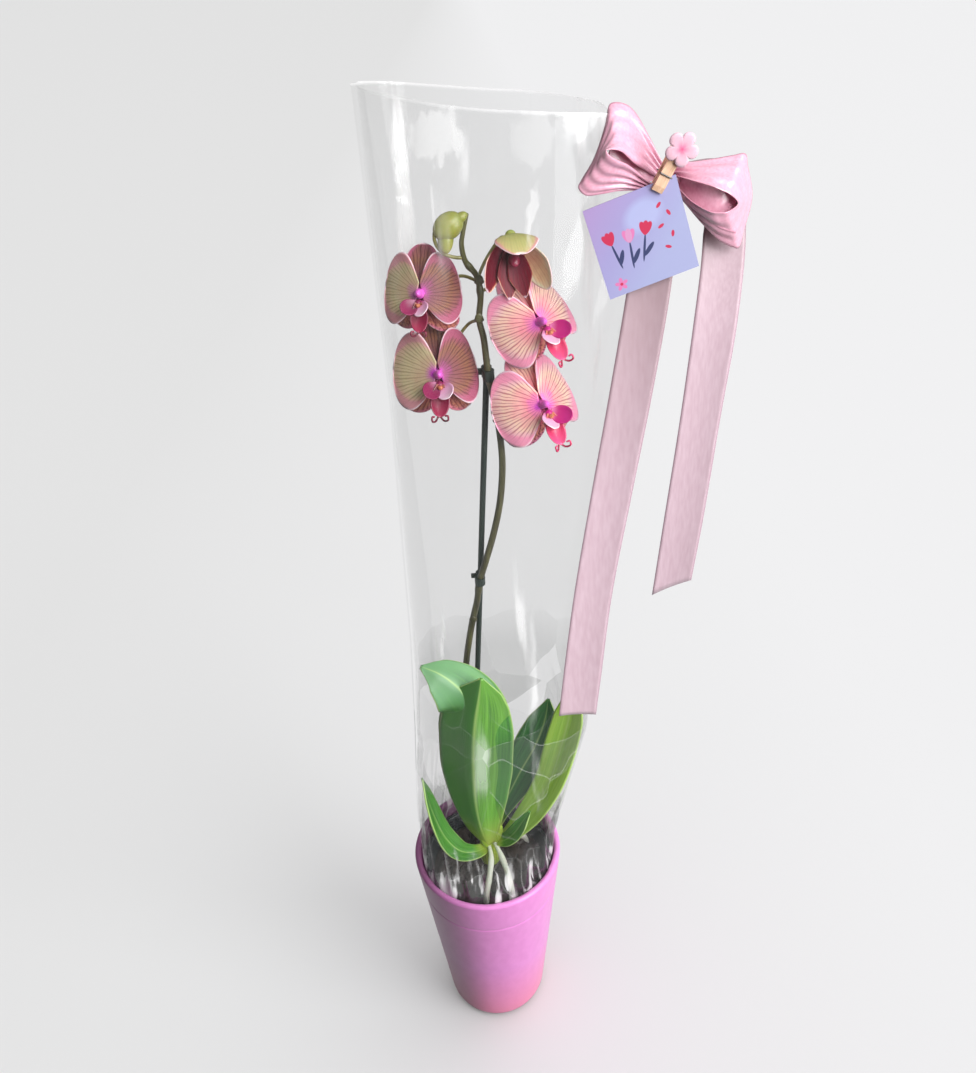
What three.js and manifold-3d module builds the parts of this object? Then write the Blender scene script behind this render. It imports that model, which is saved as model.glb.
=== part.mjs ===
// A moth orchid in flower, standing in a tall glazed pot and wrapped for giving: a clear film
// sleeve, a satin bow, a small card and the wooden peg that holds it.
// Millimetres. X is to the right, Y to the back, Z up. The origin is under the middle of the pot.

import * as THREE from 'three';
import { mergeVertices } from 'three/addons/utils/BufferGeometryUtils.js';
import Module from 'manifold-3d';

const wasm = await Module();
wasm.setup();

// ---------------------------------------------------------------- driving dimensions

const GAP = 0.3; // air left between two pieces that touch

const POT_HEIGHT = 200;
const POT_RIM_RADIUS = 65;
const POT_FOOT_RADIUS = 45; // where the straight wall would meet the table
const POT_WALL = 4.5;
const POT_LIP = 5.5;
const POT_CORNER = 10;
const POT_FLOOR = 7;
const POT_LEDGE_HEIGHT = 76; // the step inside that the growing pot stands on
const POT_LEDGE_RADIUS = 39;
const POT_GROOVE_HEIGHT = 164;
const POT_GROOVE_DEPTH = 0.5;

const LINER_HEIGHT = 111;
const LINER_FOOT_RADIUS = 43;
const LINER_TOP_RADIUS = 53.4;
const LINER_RIM_RADIUS = 56.2;
const LINER_RIM_DEPTH = 4;
const LINER_WALL = 1;
const DRAIN_RADIUS = 6;

const BARK_TOP = 178;
const BARK_RELIEF = 5;

const CROWN = new THREE.Vector2(2, 4); // where the plant stands in the bark
const CROWN_BOTTOM = 160;
const CROWN_TOP = 216;
const CROWN_RADIUS = 9;
const ROOT_RADIUS = 2.3;

const LEAF_THICKNESS = 1.6;
const SEPAL_THICKNESS = 0.8;
const SPIKE_RADIUS = 2.5;
const SPIKE_TIP_RADIUS = 1.2;
const PEDICEL_RADIUS = 1.2;

const STAKE_RADIUS = 2.1;
const STAKE_TOP = new THREE.Vector3(24.4, 12, 652);
const STAKE_FOOT = new THREE.Vector3(-21, 16, 100);
const CLIP_WALL = 1.3;

const FILM = 0.6;
const SLEEVE_TOP = 813;
const SLEEVE_FALL = 22; // how far the top edge falls towards the bow, and the drop at the bow itself
const SLEEVE_DROP = 33;
const SLEEVE_FRONT_DIP = 14;
const GATHER_SHIFT = 8; // how far forward the gathered right side is drawn
const SEAM_WIDTH = 1.8;

const RIBBON = 0.7;
const KNOT = new THREE.Vector3(128.3, -10, 758.2);
const KNOT_SIZE = new THREE.Vector3(7, 6.5, 8.5); // half sizes

const CARD_SIZE = 51;
const CARD = 0.6;
const CARD_TURN = 18; // degrees, right side up

const PEG_COIL = new THREE.Vector3(121.4, -33, 765.1); // the middle of its spring
const PEG_JAW = 9; // from the spring to the jaws' tips
const PEG_HANDLE = 13;
const PEG_WIDTH = 6;
const PEG_LEVER = 3;
const PEG_MOUTH = 1.2; // what the closed jaws hold: the card's edge
const PEG_LEAN = 28; // degrees to the right of upright
const PEG_COIL_RADIUS = 1.5;
const CARD_SHIFT = 6; // the card's middle from the spring, across the peg and down it
const CARD_BELOW = 33.7;
const CHARM_RADIUS = 8.8;

// ---------------------------------------------------------------- solids

const degrees = THREE.MathUtils.degToRad;

/** A closed geometry from corner positions and triangles, turned so that its faces point out. */
function closed(positions, triangles) {
  const point = (i) => new THREE.Vector3().fromArray(positions, 3 * i);
  let volume = 0;
  for (let i = 0; i < triangles.length; i += 3) {
    const [a, b, c] = [point(triangles[i]), point(triangles[i + 1]), point(triangles[i + 2])];
    volume += a.dot(b.cross(c));
  }
  const index = volume < 0 ? [...triangles].reverse() : triangles;
  const geometry = new THREE.BufferGeometry();
  geometry.setAttribute('position', new THREE.Float32BufferAttribute(positions, 3));
  geometry.setIndex(index);
  return geometry;
}

/** A solid for joining and cutting, made from a closed geometry. */
function solid(geometry) {
  const bare = geometry.clone();
  bare.deleteAttribute('normal');
  bare.deleteAttribute('uv');
  const merged = mergeVertices(bare, 1e-4);
  const index = [];
  const raw = merged.index.array;
  for (let i = 0; i < raw.length; i += 3) {
    const [a, b, c] = [raw[i], raw[i + 1], raw[i + 2]];
    if (a !== b && b !== c && c !== a) index.push(a, b, c);
  }
  const mesh = new wasm.Mesh({
    numProp: 3,
    vertProperties: new Float32Array(merged.attributes.position.array),
    triVerts: new Uint32Array(index),
  });
  return new wasm.Manifold(mesh);
}

/** The geometry of a solid. */
function geometryOf(body) {
  const mesh = body.getMesh();
  const geometry = new THREE.BufferGeometry();
  geometry.setAttribute('position', new THREE.Float32BufferAttribute(mesh.vertProperties, 3));
  geometry.setIndex(Array.from(mesh.triVerts));
  return geometry;
}

const join = (...geometries) => geometryOf(geometries.map(solid).reduce((all, one) => all.add(one)));

const cut = (geometry, ...tools) =>
  geometryOf(tools.map(solid).reduce((left, tool) => left.subtract(tool), solid(geometry)));

/** A thin sheet with a given middle surface: point(u, v) with u and v from 0 to 1. */
function sheet(point, alongSteps, acrossSteps, thickness) {
  const small = 1e-3;
  const positions = [];
  const columns = acrossSteps + 1;
  const count = (alongSteps + 1) * columns;
  for (const side of [0.5, -0.5]) {
    for (let i = 0; i <= alongSteps; i++) {
      for (let j = 0; j <= acrossSteps; j++) {
        const u = i / alongSteps;
        const v = j / acrossSteps;
        const du = point(Math.min(u + small, 1), v).sub(point(Math.max(u - small, 0), v));
        const dv = point(u, Math.min(v + small, 1)).sub(point(u, Math.max(v - small, 0)));
        const normal = du.cross(dv).normalize();
        positions.push(...point(u, v).addScaledVector(normal, side * thickness));
      }
    }
  }
  const triangles = [];
  const quad = (a, b, c, d) => triangles.push(a, b, c, a, c, d);
  for (let i = 0; i < alongSteps; i++) {
    for (let j = 0; j < acrossSteps; j++) {
      const a = i * columns + j;
      quad(a, a + columns, a + columns + 1, a + 1);
      triangles.push(count + a, count + a + columns + 1, count + a + columns);
      triangles.push(count + a, count + a + 1, count + a + columns + 1);
    }
  }
  const rim = [];
  for (let j = 0; j < acrossSteps; j++) rim.push(j);
  for (let i = 0; i < alongSteps; i++) rim.push(i * columns + acrossSteps);
  for (let j = acrossSteps; j > 0; j--) rim.push(alongSteps * columns + j);
  for (let i = alongSteps; i > 0; i--) rim.push(i * columns);
  rim.forEach((a, k) => {
    const b = rim[(k + 1) % rim.length];
    quad(a, b, b + count, a + count);
  });
  return closed(positions, triangles);
}

/** A round rod along a smooth curve, whose radius may change from end to end. */
function rod(points, radiusAt, steps, sides) {
  const curve = points.length > 2
    ? new THREE.CatmullRomCurve3(points)
    : new THREE.LineCurve3(points[0], points[1]);
  const frames = curve.computeFrenetFrames(steps, false);
  const positions = [];
  for (let i = 0; i <= steps; i++) {
    const centre = curve.getPointAt(i / steps);
    const radius = typeof radiusAt === 'function' ? radiusAt(i / steps) : radiusAt;
    for (let j = 0; j < sides; j++) {
      const angle = (2 * Math.PI * j) / sides;
      positions.push(...centre.clone()
        .addScaledVector(frames.normals[i], radius * Math.cos(angle))
        .addScaledVector(frames.binormals[i], radius * Math.sin(angle)));
    }
  }
  const triangles = [];
  for (let i = 0; i < steps; i++) {
    for (let j = 0; j < sides; j++) {
      const a = i * sides + j;
      const b = i * sides + ((j + 1) % sides);
      triangles.push(a, b, b + sides, a, b + sides, a + sides);
    }
  }
  for (let j = 1; j < sides - 1; j++) {
    triangles.push(0, j + 1, j);
    triangles.push(steps * sides, steps * sides + j, steps * sides + j + 1);
  }
  return closed(positions, triangles);
}

/** A body turned about the vertical axis from a profile of [radius, height] points. */
function turned(profile, sides) {
  const points = profile.map(([radius, height]) => new THREE.Vector2(radius, height));
  return new THREE.LatheGeometry(points, sides).rotateX(Math.PI / 2);
}

/** A ball stretched along its own axes and carried by a matrix. */
function ball(rx, ry, rz, matrix, across = 8, up = 6) {
  return new THREE.SphereGeometry(1, across, up).scale(rx, ry, rz).applyMatrix4(matrix);
}

const at = (x, y, z) => new THREE.Matrix4().makeTranslation(x, y, z);
const vectors = (rows) => rows.map((row) => new THREE.Vector3(...row));
const curveThrough = (rows) => new THREE.CatmullRomCurve3(vectors(rows));

function arc(centreR, centreZ, radius, from, to, steps) {
  return Array.from({ length: steps + 1 }, (_, i) => {
    const angle = degrees(from + ((to - from) * i) / steps);
    return [centreR + radius * Math.cos(angle), centreZ + radius * Math.sin(angle)];
  });
}

// ---------------------------------------------------------------- pot, growing pot and bark

const potSlope = (POT_RIM_RADIUS - POT_FOOT_RADIUS) / POT_HEIGHT;
const potOuter = (z) => POT_FOOT_RADIUS + potSlope * z;
const potInner = (z) => potOuter(z) - POT_WALL;

function cachepot() {
  const lean = THREE.MathUtils.radToDeg(Math.atan(potSlope));
  const cornerR = potOuter(POT_CORNER) - POT_CORNER * Math.hypot(1, potSlope);
  const lip = POT_LIP / 2;
  const lipZ = POT_HEIGHT - lip;
  const groove = (z, depth) => [potOuter(z) - depth, z];
  return turned([
    [0, 0],
    ...arc(cornerR, POT_CORNER, POT_CORNER, -90, -lean, 3),
    groove(POT_GROOVE_HEIGHT - 2, 0),
    groove(POT_GROOVE_HEIGHT, POT_GROOVE_DEPTH),
    groove(POT_GROOVE_HEIGHT + 2, 0),
    ...arc(potOuter(lipZ) - lip, lipZ, lip, -lean, 180, 4),
    [potInner(POT_LEDGE_HEIGHT), POT_LEDGE_HEIGHT],
    [POT_LEDGE_RADIUS, POT_LEDGE_HEIGHT],
    [POT_LEDGE_RADIUS - 4, POT_FLOOR],
    [0, POT_FLOOR],
  ], 36);
}

const linerFloor = POT_LEDGE_HEIGHT + GAP;
const linerTop = linerFloor + LINER_HEIGHT;
const linerSlope = (LINER_TOP_RADIUS - LINER_FOOT_RADIUS) / LINER_HEIGHT;
const linerInner = (z) => LINER_FOOT_RADIUS + linerSlope * (z - linerFloor) - LINER_WALL;

function growingPot() {
  return turned([
    [DRAIN_RADIUS, linerFloor],
    [LINER_FOOT_RADIUS, linerFloor],
    [LINER_TOP_RADIUS, linerTop - LINER_RIM_DEPTH],
    [LINER_RIM_RADIUS, linerTop - LINER_RIM_DEPTH],
    [LINER_RIM_RADIUS, linerTop],
    [linerInner(linerTop), linerTop],
    [linerInner(linerFloor + LINER_WALL), linerFloor + LINER_WALL],
    [DRAIN_RADIUS, linerFloor + LINER_WALL],
    [DRAIN_RADIUS, linerFloor],
  ], 28);
}

/** Bark chips as one body: a cone that fills the growing pot, with a broken top. */
function barkBody() {
  const rings = 5;
  const sides = 24;
  const foot = linerFloor + LINER_WALL + GAP;
  const radius = (z) => linerInner(z) - GAP - 0.3;
  const chip = (ring, side) => Math.abs(Math.sin(ring * 12.9898 + side * 78.233) * 43758.5453) % 1;
  const positions = [0, 0, foot];
  for (const [r, z] of [[radius(foot), foot], [radius(BARK_TOP - BARK_RELIEF), BARK_TOP - BARK_RELIEF]]) {
    for (let j = 0; j < sides; j++) {
      const angle = (2 * Math.PI * j) / sides;
      positions.push(r * Math.cos(angle), r * Math.sin(angle), z);
    }
  }
  for (let i = rings; i > 0; i--) {
    for (let j = 0; j < sides; j++) {
      const angle = (2 * Math.PI * (j + 0.5 * (i % 2))) / sides;
      const r = ((radius(BARK_TOP) - 3) * i) / rings;
      const z = BARK_TOP - BARK_RELIEF * chip(i, j);
      positions.push(r * Math.cos(angle), r * Math.sin(angle), z);
    }
  }
  positions.push(0, 0, BARK_TOP);
  const triangles = [];
  const ringStart = (k) => 1 + k * sides;
  const last = ringStart(rings + 2);
  for (let j = 0; j < sides; j++) {
    const next = (j + 1) % sides;
    triangles.push(0, ringStart(0) + next, ringStart(0) + j);
    for (let k = 0; k < rings + 1; k++) {
      const [a, b] = [ringStart(k) + j, ringStart(k) + next];
      triangles.push(a, b, b + sides, a, b + sides, a + sides);
    }
    triangles.push(ringStart(rings + 1) + j, ringStart(rings + 1) + next, last);
  }
  return closed(positions, triangles);
}

// ---------------------------------------------------------------- crown, roots and leaves

// The folded bases of old leaves that sheathe the short stem: middle and half sizes.
const SHEATHS = [
  { middle: [-1.5, -2, 212], size: [4.6, 4, 15], lean: -9 },
  { middle: [9.5, 0, 212], size: [4.6, 4, 14], lean: 12 },
];

/** The short stem with its sheaths, made fatter by a margin for cutting. */
function crown(margin = 0) {
  const stem = turned([
    [0, CROWN_BOTTOM - margin],
    [CROWN_RADIUS * 0.7 + margin, CROWN_BOTTOM - margin],
    [CROWN_RADIUS + margin, CROWN_BOTTOM + 20],
    [CROWN_RADIUS + margin, CROWN_TOP - 22],
    [CROWN_RADIUS * 0.55 + margin, CROWN_TOP - 5],
    [0, CROWN_TOP + margin],
  ], 12).translate(CROWN.x, CROWN.y, 0);
  const sheaths = SHEATHS.map(({ middle, size, lean }) => {
    const place = at(...middle).multiply(new THREE.Matrix4().makeRotationY(degrees(lean)));
    return ball(size[0] + margin, size[1] + margin, size[2] + margin, place);
  });
  return join(stem, ...sheaths);
}

// The middle of each root, from the crown out over the bark and down into it.
const ROOTS = [
  [[6, -1, 206], [11, -12, 202], [16, -26, 197], [19, -38, 190], [19, -42, 172]],
  [[1, 0, 202], [3, -14, 201], [1, -28, 195], [-2, -39, 188], [-4, -43, 170]],
  [[8, 6, 192], [24, 14, 190], [33, 20, 183], [36, 23, 168]],
  [[0, 9, 192], [-5, 24, 189], [-8, 35, 182], [-9, 39, 166]],
];

const rootRods = (margin = 0) =>
  ROOTS.map((row) => rod(vectors(row), ROOT_RADIUS + margin, 6, 6));

/**
 * A strap leaf. Its midrib runs through mid, its upper face looks along face, half holds its
 * half-width at each point of mid, and its two halves stand up from the midrib by fold.
 */
function leaf({ mid, face, half, fold }) {
  const midrib = curveThrough(mid);
  const facing = curveThrough(face);
  const reach = curveThrough(half.map((width, i) => [i, width, 0]));
  const point = (u, v) => {
    const tangent = midrib.getTangent(u);
    const side = tangent.clone().cross(facing.getPoint(u)).normalize();
    const up = side.clone().cross(tangent).normalize();
    const across = (2 * v - 1) * reach.getPoint(u).y;
    return midrib.getPoint(u)
      .addScaledVector(side, across * Math.cos(fold))
      .addScaledVector(up, Math.abs(across) * Math.sin(fold));
  };
  return sheet(point, 11, 4, LEAF_THICKNESS);
}

const LEAVES = {
  leaf_front: {
    mid: [[1, -1, 203], [-3, -6, 228], [-5.5, -14, 270], [-5, -21, 318], [-3, -26, 355], [-1.5, -28, 382],
      [-4, -28, 399], [-11, -26, 412], [-24, -22, 423], [-38, -17, 427]],
    face: [[0.2, 1, 0], [0.2, 1, 0.1], [0.2, 1, 0.1], [0.2, 1, 0], [0.2, 1, 0], [0.1, 1, -0.1],
      [-0.2, 0.9, -0.4], [-0.35, 0.8, -0.7], [-0.3, 0.6, -0.9], [-0.2, 0.6, -1]],
    half: [7, 17, 27, 32.5, 32.5, 29, 25.5, 22, 15, 1.2],
    fold: 0.4,
  },
  leaf_back_right: {
    mid: [[8, 12, 204], [15, 18, 222], [32, 26, 258], [48, 30, 290], [56.5, 31, 317], [60, 31, 341]],
    face: [[-0.8, -0.6, 0.6], [-0.6, -0.8, 0.5], [-0.4, -0.9, 0.4], [-0.3, -0.9, 0.3], [-0.3, -0.9, 0.2],
      [-0.3, -0.9, 0.2]],
    half: [4, 8, 16.5, 19, 15, 1.2],
    fold: 0.3,
  },
  leaf_right: {
    mid: [[10, 2, 200], [24, 0, 215], [43, 0, 243], [58, 1, 276], [67.5, 3, 311], [75, 5, 345], [82, 6, 384]],
    face: [[-0.5, -0.2, 1], [-0.6, -0.4, 0.8], [-0.7, -0.6, 0.5], [-0.7, -0.7, 0.3], [-0.6, -0.8, 0.2],
      [-0.5, -0.8, 0.1], [-0.5, -0.8, 0.1]],
    half: [5, 9, 13, 14.5, 15, 13.5, 1.2],
    fold: 0.3,
  },
  leaf_left: {
    mid: [[-1, -3, 199], [-9, -9, 202], [-22, -16, 212], [-34, -18, 231], [-43, -15, 258], [-47.5, -12, 282],
      [-49, -10, 300]],
    face: [[0, -0.2, 1], [0.1, -0.3, 1], [0.4, -0.4, 0.8], [0.8, -0.4, 0.5], [0.9, -0.3, 0.2],
      [0.95, -0.1, 0.1], [0.95, 0.1, 0.1]],
    half: [5, 6.5, 8.5, 10.5, 10.5, 8, 1.2],
    fold: 0.3,
  },
  leaf_small: {
    mid: [[11, -3, 207], [17, -7, 213], [24, -12, 226], [32, -14, 243], [38.5, -15, 258]],
    face: [[-0.4, -0.4, 1], [-0.4, -0.5, 0.9], [-0.4, -0.6, 0.8], [-0.4, -0.7, 0.7], [-0.4, -0.7, 0.7]],
    half: [4.5, 6.5, 7.5, 6, 1.2],
    fold: 0.4,
  },
};

// ---------------------------------------------------------------- flower spike, stake and clips

const SPIKE = vectors([
  [4, 8, 205], [-1, 8, 245], [-5, 8, 285], [-7.5, 9, 325], [-7, 10.5, 370], [-5.5, 11.5, 400], [-1.8, 11.5, 424],
  [2, 10.2, 444], [7, 7.6, 466], [10.2, 6.4, 485], [15.5, 5.5, 503], [22.5, 5.5, 527], [27.8, 6, 551],
  [30.4, 6, 575], [30.6, 6, 590], [28.5, 6, 618], [24.6, 5.4, 645], [23, 4, 669], [21, 3, 681], [22.6, 3, 696],
  [20.9, 2, 708], [15, 1, 717], [13.4, 0, 727], [14.7, -1, 734], [17.5, -1, 744],
]);
const spikeRadius = (u) => THREE.MathUtils.lerp(SPIKE_RADIUS, SPIKE_TIP_RADIUS, Math.pow(u, 3));
const spikeRod = (margin = 0) => rod(SPIKE, (u) => spikeRadius(u) + margin, 34, 6);

// The joints of the spike, each with its scale-like bract.
const SPIKE_NODES = vectors([[3, 10, 447], [28.8, 6, 612], [20.9, 3, 681], [22.3, 3, 704]]);

const stakeRod = (margin = 0) => rod([STAKE_FOOT, STAKE_TOP], STAKE_RADIUS + margin, 1, 8);

/** A clip round the spike and the stake, with a finger tab on its left. */
function clip(height, tall) {
  const stake = STAKE_FOOT.clone().lerp(STAKE_TOP, (height - STAKE_FOOT.z) / (STAKE_TOP.z - STAKE_FOOT.z));
  const spike = spikeCurve.getPointAt(nearestOnSpike(height));
  const band = (centre, radius) => {
    const outer = radius + CLIP_WALL;
    return new THREE.CylinderGeometry(outer, outer, tall, 12)
      .rotateX(Math.PI / 2).translate(centre.x, centre.y, height);
  };
  const reach = STAKE_RADIUS + CLIP_WALL + 3.4;
  const middleY = (stake.y + spike.y) / 2;
  const tab = new THREE.BoxGeometry(reach, 1.2, tall * 0.6)
    .translate(stake.x - reach / 2, stake.y, height);
  const bridge = new THREE.BoxGeometry(4, Math.abs(stake.y - spike.y), tall)
    .translate((stake.x + spike.x) / 2, middleY, height);
  return cut(join(band(stake, STAKE_RADIUS), band(spike, SPIKE_RADIUS), tab, bridge),
    spikeRod(GAP), stakeRod(GAP));
}

const spikeCurve = new THREE.CatmullRomCurve3(SPIKE);

function nearestOnSpike(height) {
  let [low, high] = [0, 1];
  for (let i = 0; i < 24; i++) {
    const middle = (low + high) / 2;
    if (spikeCurve.getPointAt(middle).z < height) low = middle;
    else high = middle;
  }
  return low;
}

// ---------------------------------------------------------------- flowers and bud

/** The frame of a flower: x to its side, y up, z out of its face. */
function bloomFrame({ centre, yaw, pitch, roll }) {
  const turn = new THREE.Matrix4().makeRotationFromEuler(new THREE.Euler(degrees(90 - pitch), 0, 0));
  const yawed = new THREE.Matrix4().makeRotationZ(degrees(yaw)).multiply(turn);
  const rolled = yawed.multiply(new THREE.Matrix4().makeRotationZ(degrees(roll)));
  return new THREE.Matrix4().makeTranslation(...centre).multiply(rolled);
}

/**
 * One petal or sepal in its flower's frame. It leaves the middle at angle, bends back by lean at
 * its foot and by curl along its length, and its edges come forward by cup.
 */
function petal({ angle, length, width, lean, curl, cup, claw = 0.2, widest = 0.55, depth = 0 }, steps) {
  const spine = (u) => {
    const bend = lean + curl * u;
    const k = Math.abs(curl) < 1e-3 ? 1e-3 : curl;
    return [(length * (Math.sin(bend) - Math.sin(lean))) / k, (length * (Math.cos(bend) - Math.cos(lean))) / k];
  };
  const widthAt = (u) => {
    const rise = u < widest ? u / widest : (1 - u) / (1 - widest);
    const swell = u < widest
      ? claw + (1 - claw) * Math.sin((rise * Math.PI) / 2)
      : Math.sqrt(Math.max(1 - (1 - rise) * (1 - rise), 0));
    return (width / 2) * Math.max(swell, 0.12);
  };
  const [cos, sin] = [Math.cos(degrees(angle)), Math.sin(degrees(angle))];
  const point = (u, v) => {
    const [out, back] = spine(0.05 + 0.95 * u);
    const across = (2 * v - 1) * widthAt(u);
    const lift = cup * Math.abs(across) * Math.abs(2 * v - 1) + depth;
    return new THREE.Vector3(cos * out - sin * across, sin * out + cos * across, back + lift);
  };
  return sheet(point, steps[0], steps[1], SEPAL_THICKNESS);
}

// Sepals and petals of an open flower of size 1. Angles are from its right-hand side.
const OPEN = [
  { angle: 90, length: 36, width: 24, lean: 0.3, curl: 0.2, cup: 0.1, depth: -1 },
  { angle: 232, length: 34, width: 22, lean: 0.35, curl: 0.15, cup: 0.1, depth: -1 },
  { angle: 312, length: 37, width: 22, lean: 0.3, curl: 0.1, cup: 0.1, depth: -1 },
  { angle: 13, length: 34, width: 48, lean: 0.35, curl: 0.6, cup: 0.06, depth: 0.6, claw: 0.3, widest: 0.5 },
  { angle: 171, length: 34, width: 48, lean: 0.35, curl: 0.6, cup: 0.06, depth: 0.6, claw: 0.3, widest: 0.5 },
];

const BLOOMS = {
  bloom_1: { centre: [-12.8, -8, 702.6], yaw: -5, pitch: 14, roll: -4, size: 0.86 },
  bloom_2: { centre: [-6.2, -9, 652.5], yaw: 8, pitch: 16, roll: -2, size: 0.99 },
  bloom_4: { centre: [56.5, -10, 682], yaw: 20, pitch: 16, roll: 22, size: 0.97 },
  bloom_5: { centre: [56.7, -13, 630.3], yaw: 19, pitch: 18, roll: 12, size: 1.02 },
};

const HUB_RADIUS = 3.2;

/** The coloured parts of a flower that grow from one middle: sepals, petals and column. */
function tepals(size, forms, frame) {
  const blades = forms.map((form) => petal(
    { ...form, length: form.length * size, width: form.width * size },
    form.width > 30 ? [4, 4] : [4, 2]));
  const hub = ball(HUB_RADIUS, HUB_RADIUS, HUB_RADIUS, at(0, 0, 0), 6, 4);
  const column = ball(2.1, 2.3, 5, at(0, 0.5, 4), 6, 5);
  return join(hub, column, ...blades).applyMatrix4(frame);
}

/** The lip: a claw, two side lobes that stand up beside the column, a middle lobe, two tendrils. */
function lip(size, frame) {
  const grow = (rows) => rows.map((row) => row.map((value) => value * size));
  const blade = (left, right, along, across) => {
    const [a, b] = [curveThrough(grow(left)), curveThrough(grow(right))];
    const point = (u, v) => {
      const [p, q] = [a.getPoint(u), b.getPoint(u)];
      const bulge = p.distanceTo(q) * 0.18 * (1 - (2 * v - 1) ** 2);
      return p.lerp(q, v).add(new THREE.Vector3(0, -bulge, -bulge * 0.4));
    };
    return sheet(point, along, across, SEPAL_THICKNESS);
  };
  const mirrored = (rows) => rows.map(([x, y, z]) => [-x, y, z]);
  const edge = [[1.6, -5, 5], [4.5, -9.5, 9.5], [8, -14.5, 12], [6, -19.5, 12.5], [1.4, -23, 11.5]];
  const middle = blade(mirrored(edge), edge, 5, 2);
  const side = (s) => blade(
    [[s * 1.4, -7.5, 6], [s * 4.5, -11, 11], [s * 7.5, -9, 15.5], [s * 8.4, -4.5, 16]],
    [[s * 1.4, -5, 4.4], [s * 5.4, -3.4, 7], [s * 8.2, -1, 11], [s * 8.6, -2.6, 14.6]], 4, 2);
  const tendril = (s) => rod(vectors(grow([
    [s * 1, -22.4, 11.6], [s * 2.6, -25, 13], [s * 5, -25, 16], [s * 5.4, -22.6, 17],
  ])), 0.5, 4, 4);
  const claw = ball(2.6 * size, 2.4 * size, 2.8 * size, at(0, -5.8 * size, 5.2 * size), 6, 5);
  return join(claw, middle, side(1), side(-1), tendril(1), tendril(-1)).applyMatrix4(frame);
}

// The half-open flower nods: its sepals and petals still close like a bell.
const NODDING = { centre: [41.7, -0.6, 730.4], yaw: 8, pitch: -42, roll: 0 };
const HALF_OPEN = [
  { angle: 90, length: 30, width: 25, lean: -0.3, curl: -1.3, cup: 0.2, depth: 0 },
  { angle: 212, length: 35, width: 24, lean: -0.6, curl: -0.7, cup: 0.25, depth: 0 },
  { angle: 328, length: 35, width: 24, lean: -0.6, curl: -0.7, cup: 0.25, depth: 0 },
  { angle: 262, length: 34, width: 20, lean: -0.75, curl: -0.55, cup: 0.3, depth: 1 },
];

function noddingLip(frame) {
  const claw = ball(1.6, 1.3, 4, at(0, -3.5, 9), 6, 4);
  const throat = ball(3.4, 2.4, 4.5, at(0, -3.4, 13.5), 6, 5);
  return join(claw, throat).applyMatrix4(frame);
}

/** The mitten-shaped bud at the end of the spike, on its own curled stalk. */
function topBud() {
  const main = ball(8.8, 6.6, 6.4, at(7.2, -4, 739).multiply(new THREE.Matrix4().makeRotationY(-0.25)), 10, 7);
  const heel = ball(4.4, 4.6, 7, at(7.2, -4, 731.5), 8, 6);
  return join(main, heel);
}

// The stalk of each flower, from the spike round to behind its middle.
const PEDICELS = {
  bloom_1: [[22.3, 3, 704], [12, 10, 706], [0, 9, 703]],
  bloom_2: [[20.9, 3, 681], [14, 13, 675], [4, 15, 662]],
  bloom_3: [[21.5, 3, 706], [27, 12, 714], [36, 15, 725]],
  bloom_4: [[22.4, 3, 698], [34, 12, 698], [45, 8, 689]],
  bloom_5: [[28.8, 6, 614], [36, 14, 617], [46, 8, 624]],
};

/** A flower's stalk; it meets the middle from behind, or from its own last point in a nodding flower. */
function pedicel(name, frame) {
  const route = vectors(PEDICELS[name]);
  const middle = new THREE.Vector3().setFromMatrixPosition(frame);
  const back = name === 'bloom_3'
    ? route.at(-1).clone().sub(middle).normalize()
    : new THREE.Vector3(0, 0, -1).transformDirection(frame);
  const behind = (distance) => middle.clone().addScaledVector(back, HUB_RADIUS + distance);
  return rod([...route, behind(6), behind(GAP)], PEDICEL_RADIUS, 7, 5);
}

const BUD_STALK = vectors([[14.5, 1, 719], [8, -1, 720.5], [2, -3, 724], [-1.6, -4, 731], [-1, -4, 738]]);
const budStalk = (margin = 0) => rod(BUD_STALK, 1.1 + margin, 7, 5);

function flowerSpike(frames) {
  const bracts = SPIKE_NODES.map((node) => ball(3.3, 3.3, 3.6, at(...node), 8, 5));
  const stalks = Object.entries(frames).map(([name, frame]) => pedicel(name, frame));
  const tip = ball(1.9, 1.9, 3, at(17.8, -1, 745), 6, 5);
  return cut(join(spikeRod(), ...bracts, ...stalks, budStalk(), tip), crown(GAP), stakeRod(GAP));
}

// ---------------------------------------------------------------- film sleeve

// Height, left edge, right edge and half depth of the film tube.
const SLEEVE = [
  [104, -49.6, 49.6, 49.6], [150, -54.4, 54.4, 54.4], [186, -57.7, 57.7, 57.7], [202, -58.9, 58.9, 58.9],
  [235, -57.5, 62, 57], [268, -56, 70, 55], [300, -53.5, 77, 54], [350, -49.5, 88, 51], [440, -44, 97, 48],
  [540, -40.5, 105, 46], [634, -37, 114, 45], [700, -36.8, 120, 44], [757, -36.5, 124, 41],
  [813, -36.5, 124, 39],
];

function sleeveRing(height) {
  let row = 0;
  while (row < SLEEVE.length - 2 && SLEEVE[row + 1][0] < height) row += 1;
  const [below, above] = [SLEEVE[row], SLEEVE[row + 1]];
  const share = (height - below[0]) / (above[0] - below[0]);
  return below.map((value, i) => THREE.MathUtils.lerp(value, above[i], share));
}

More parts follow.
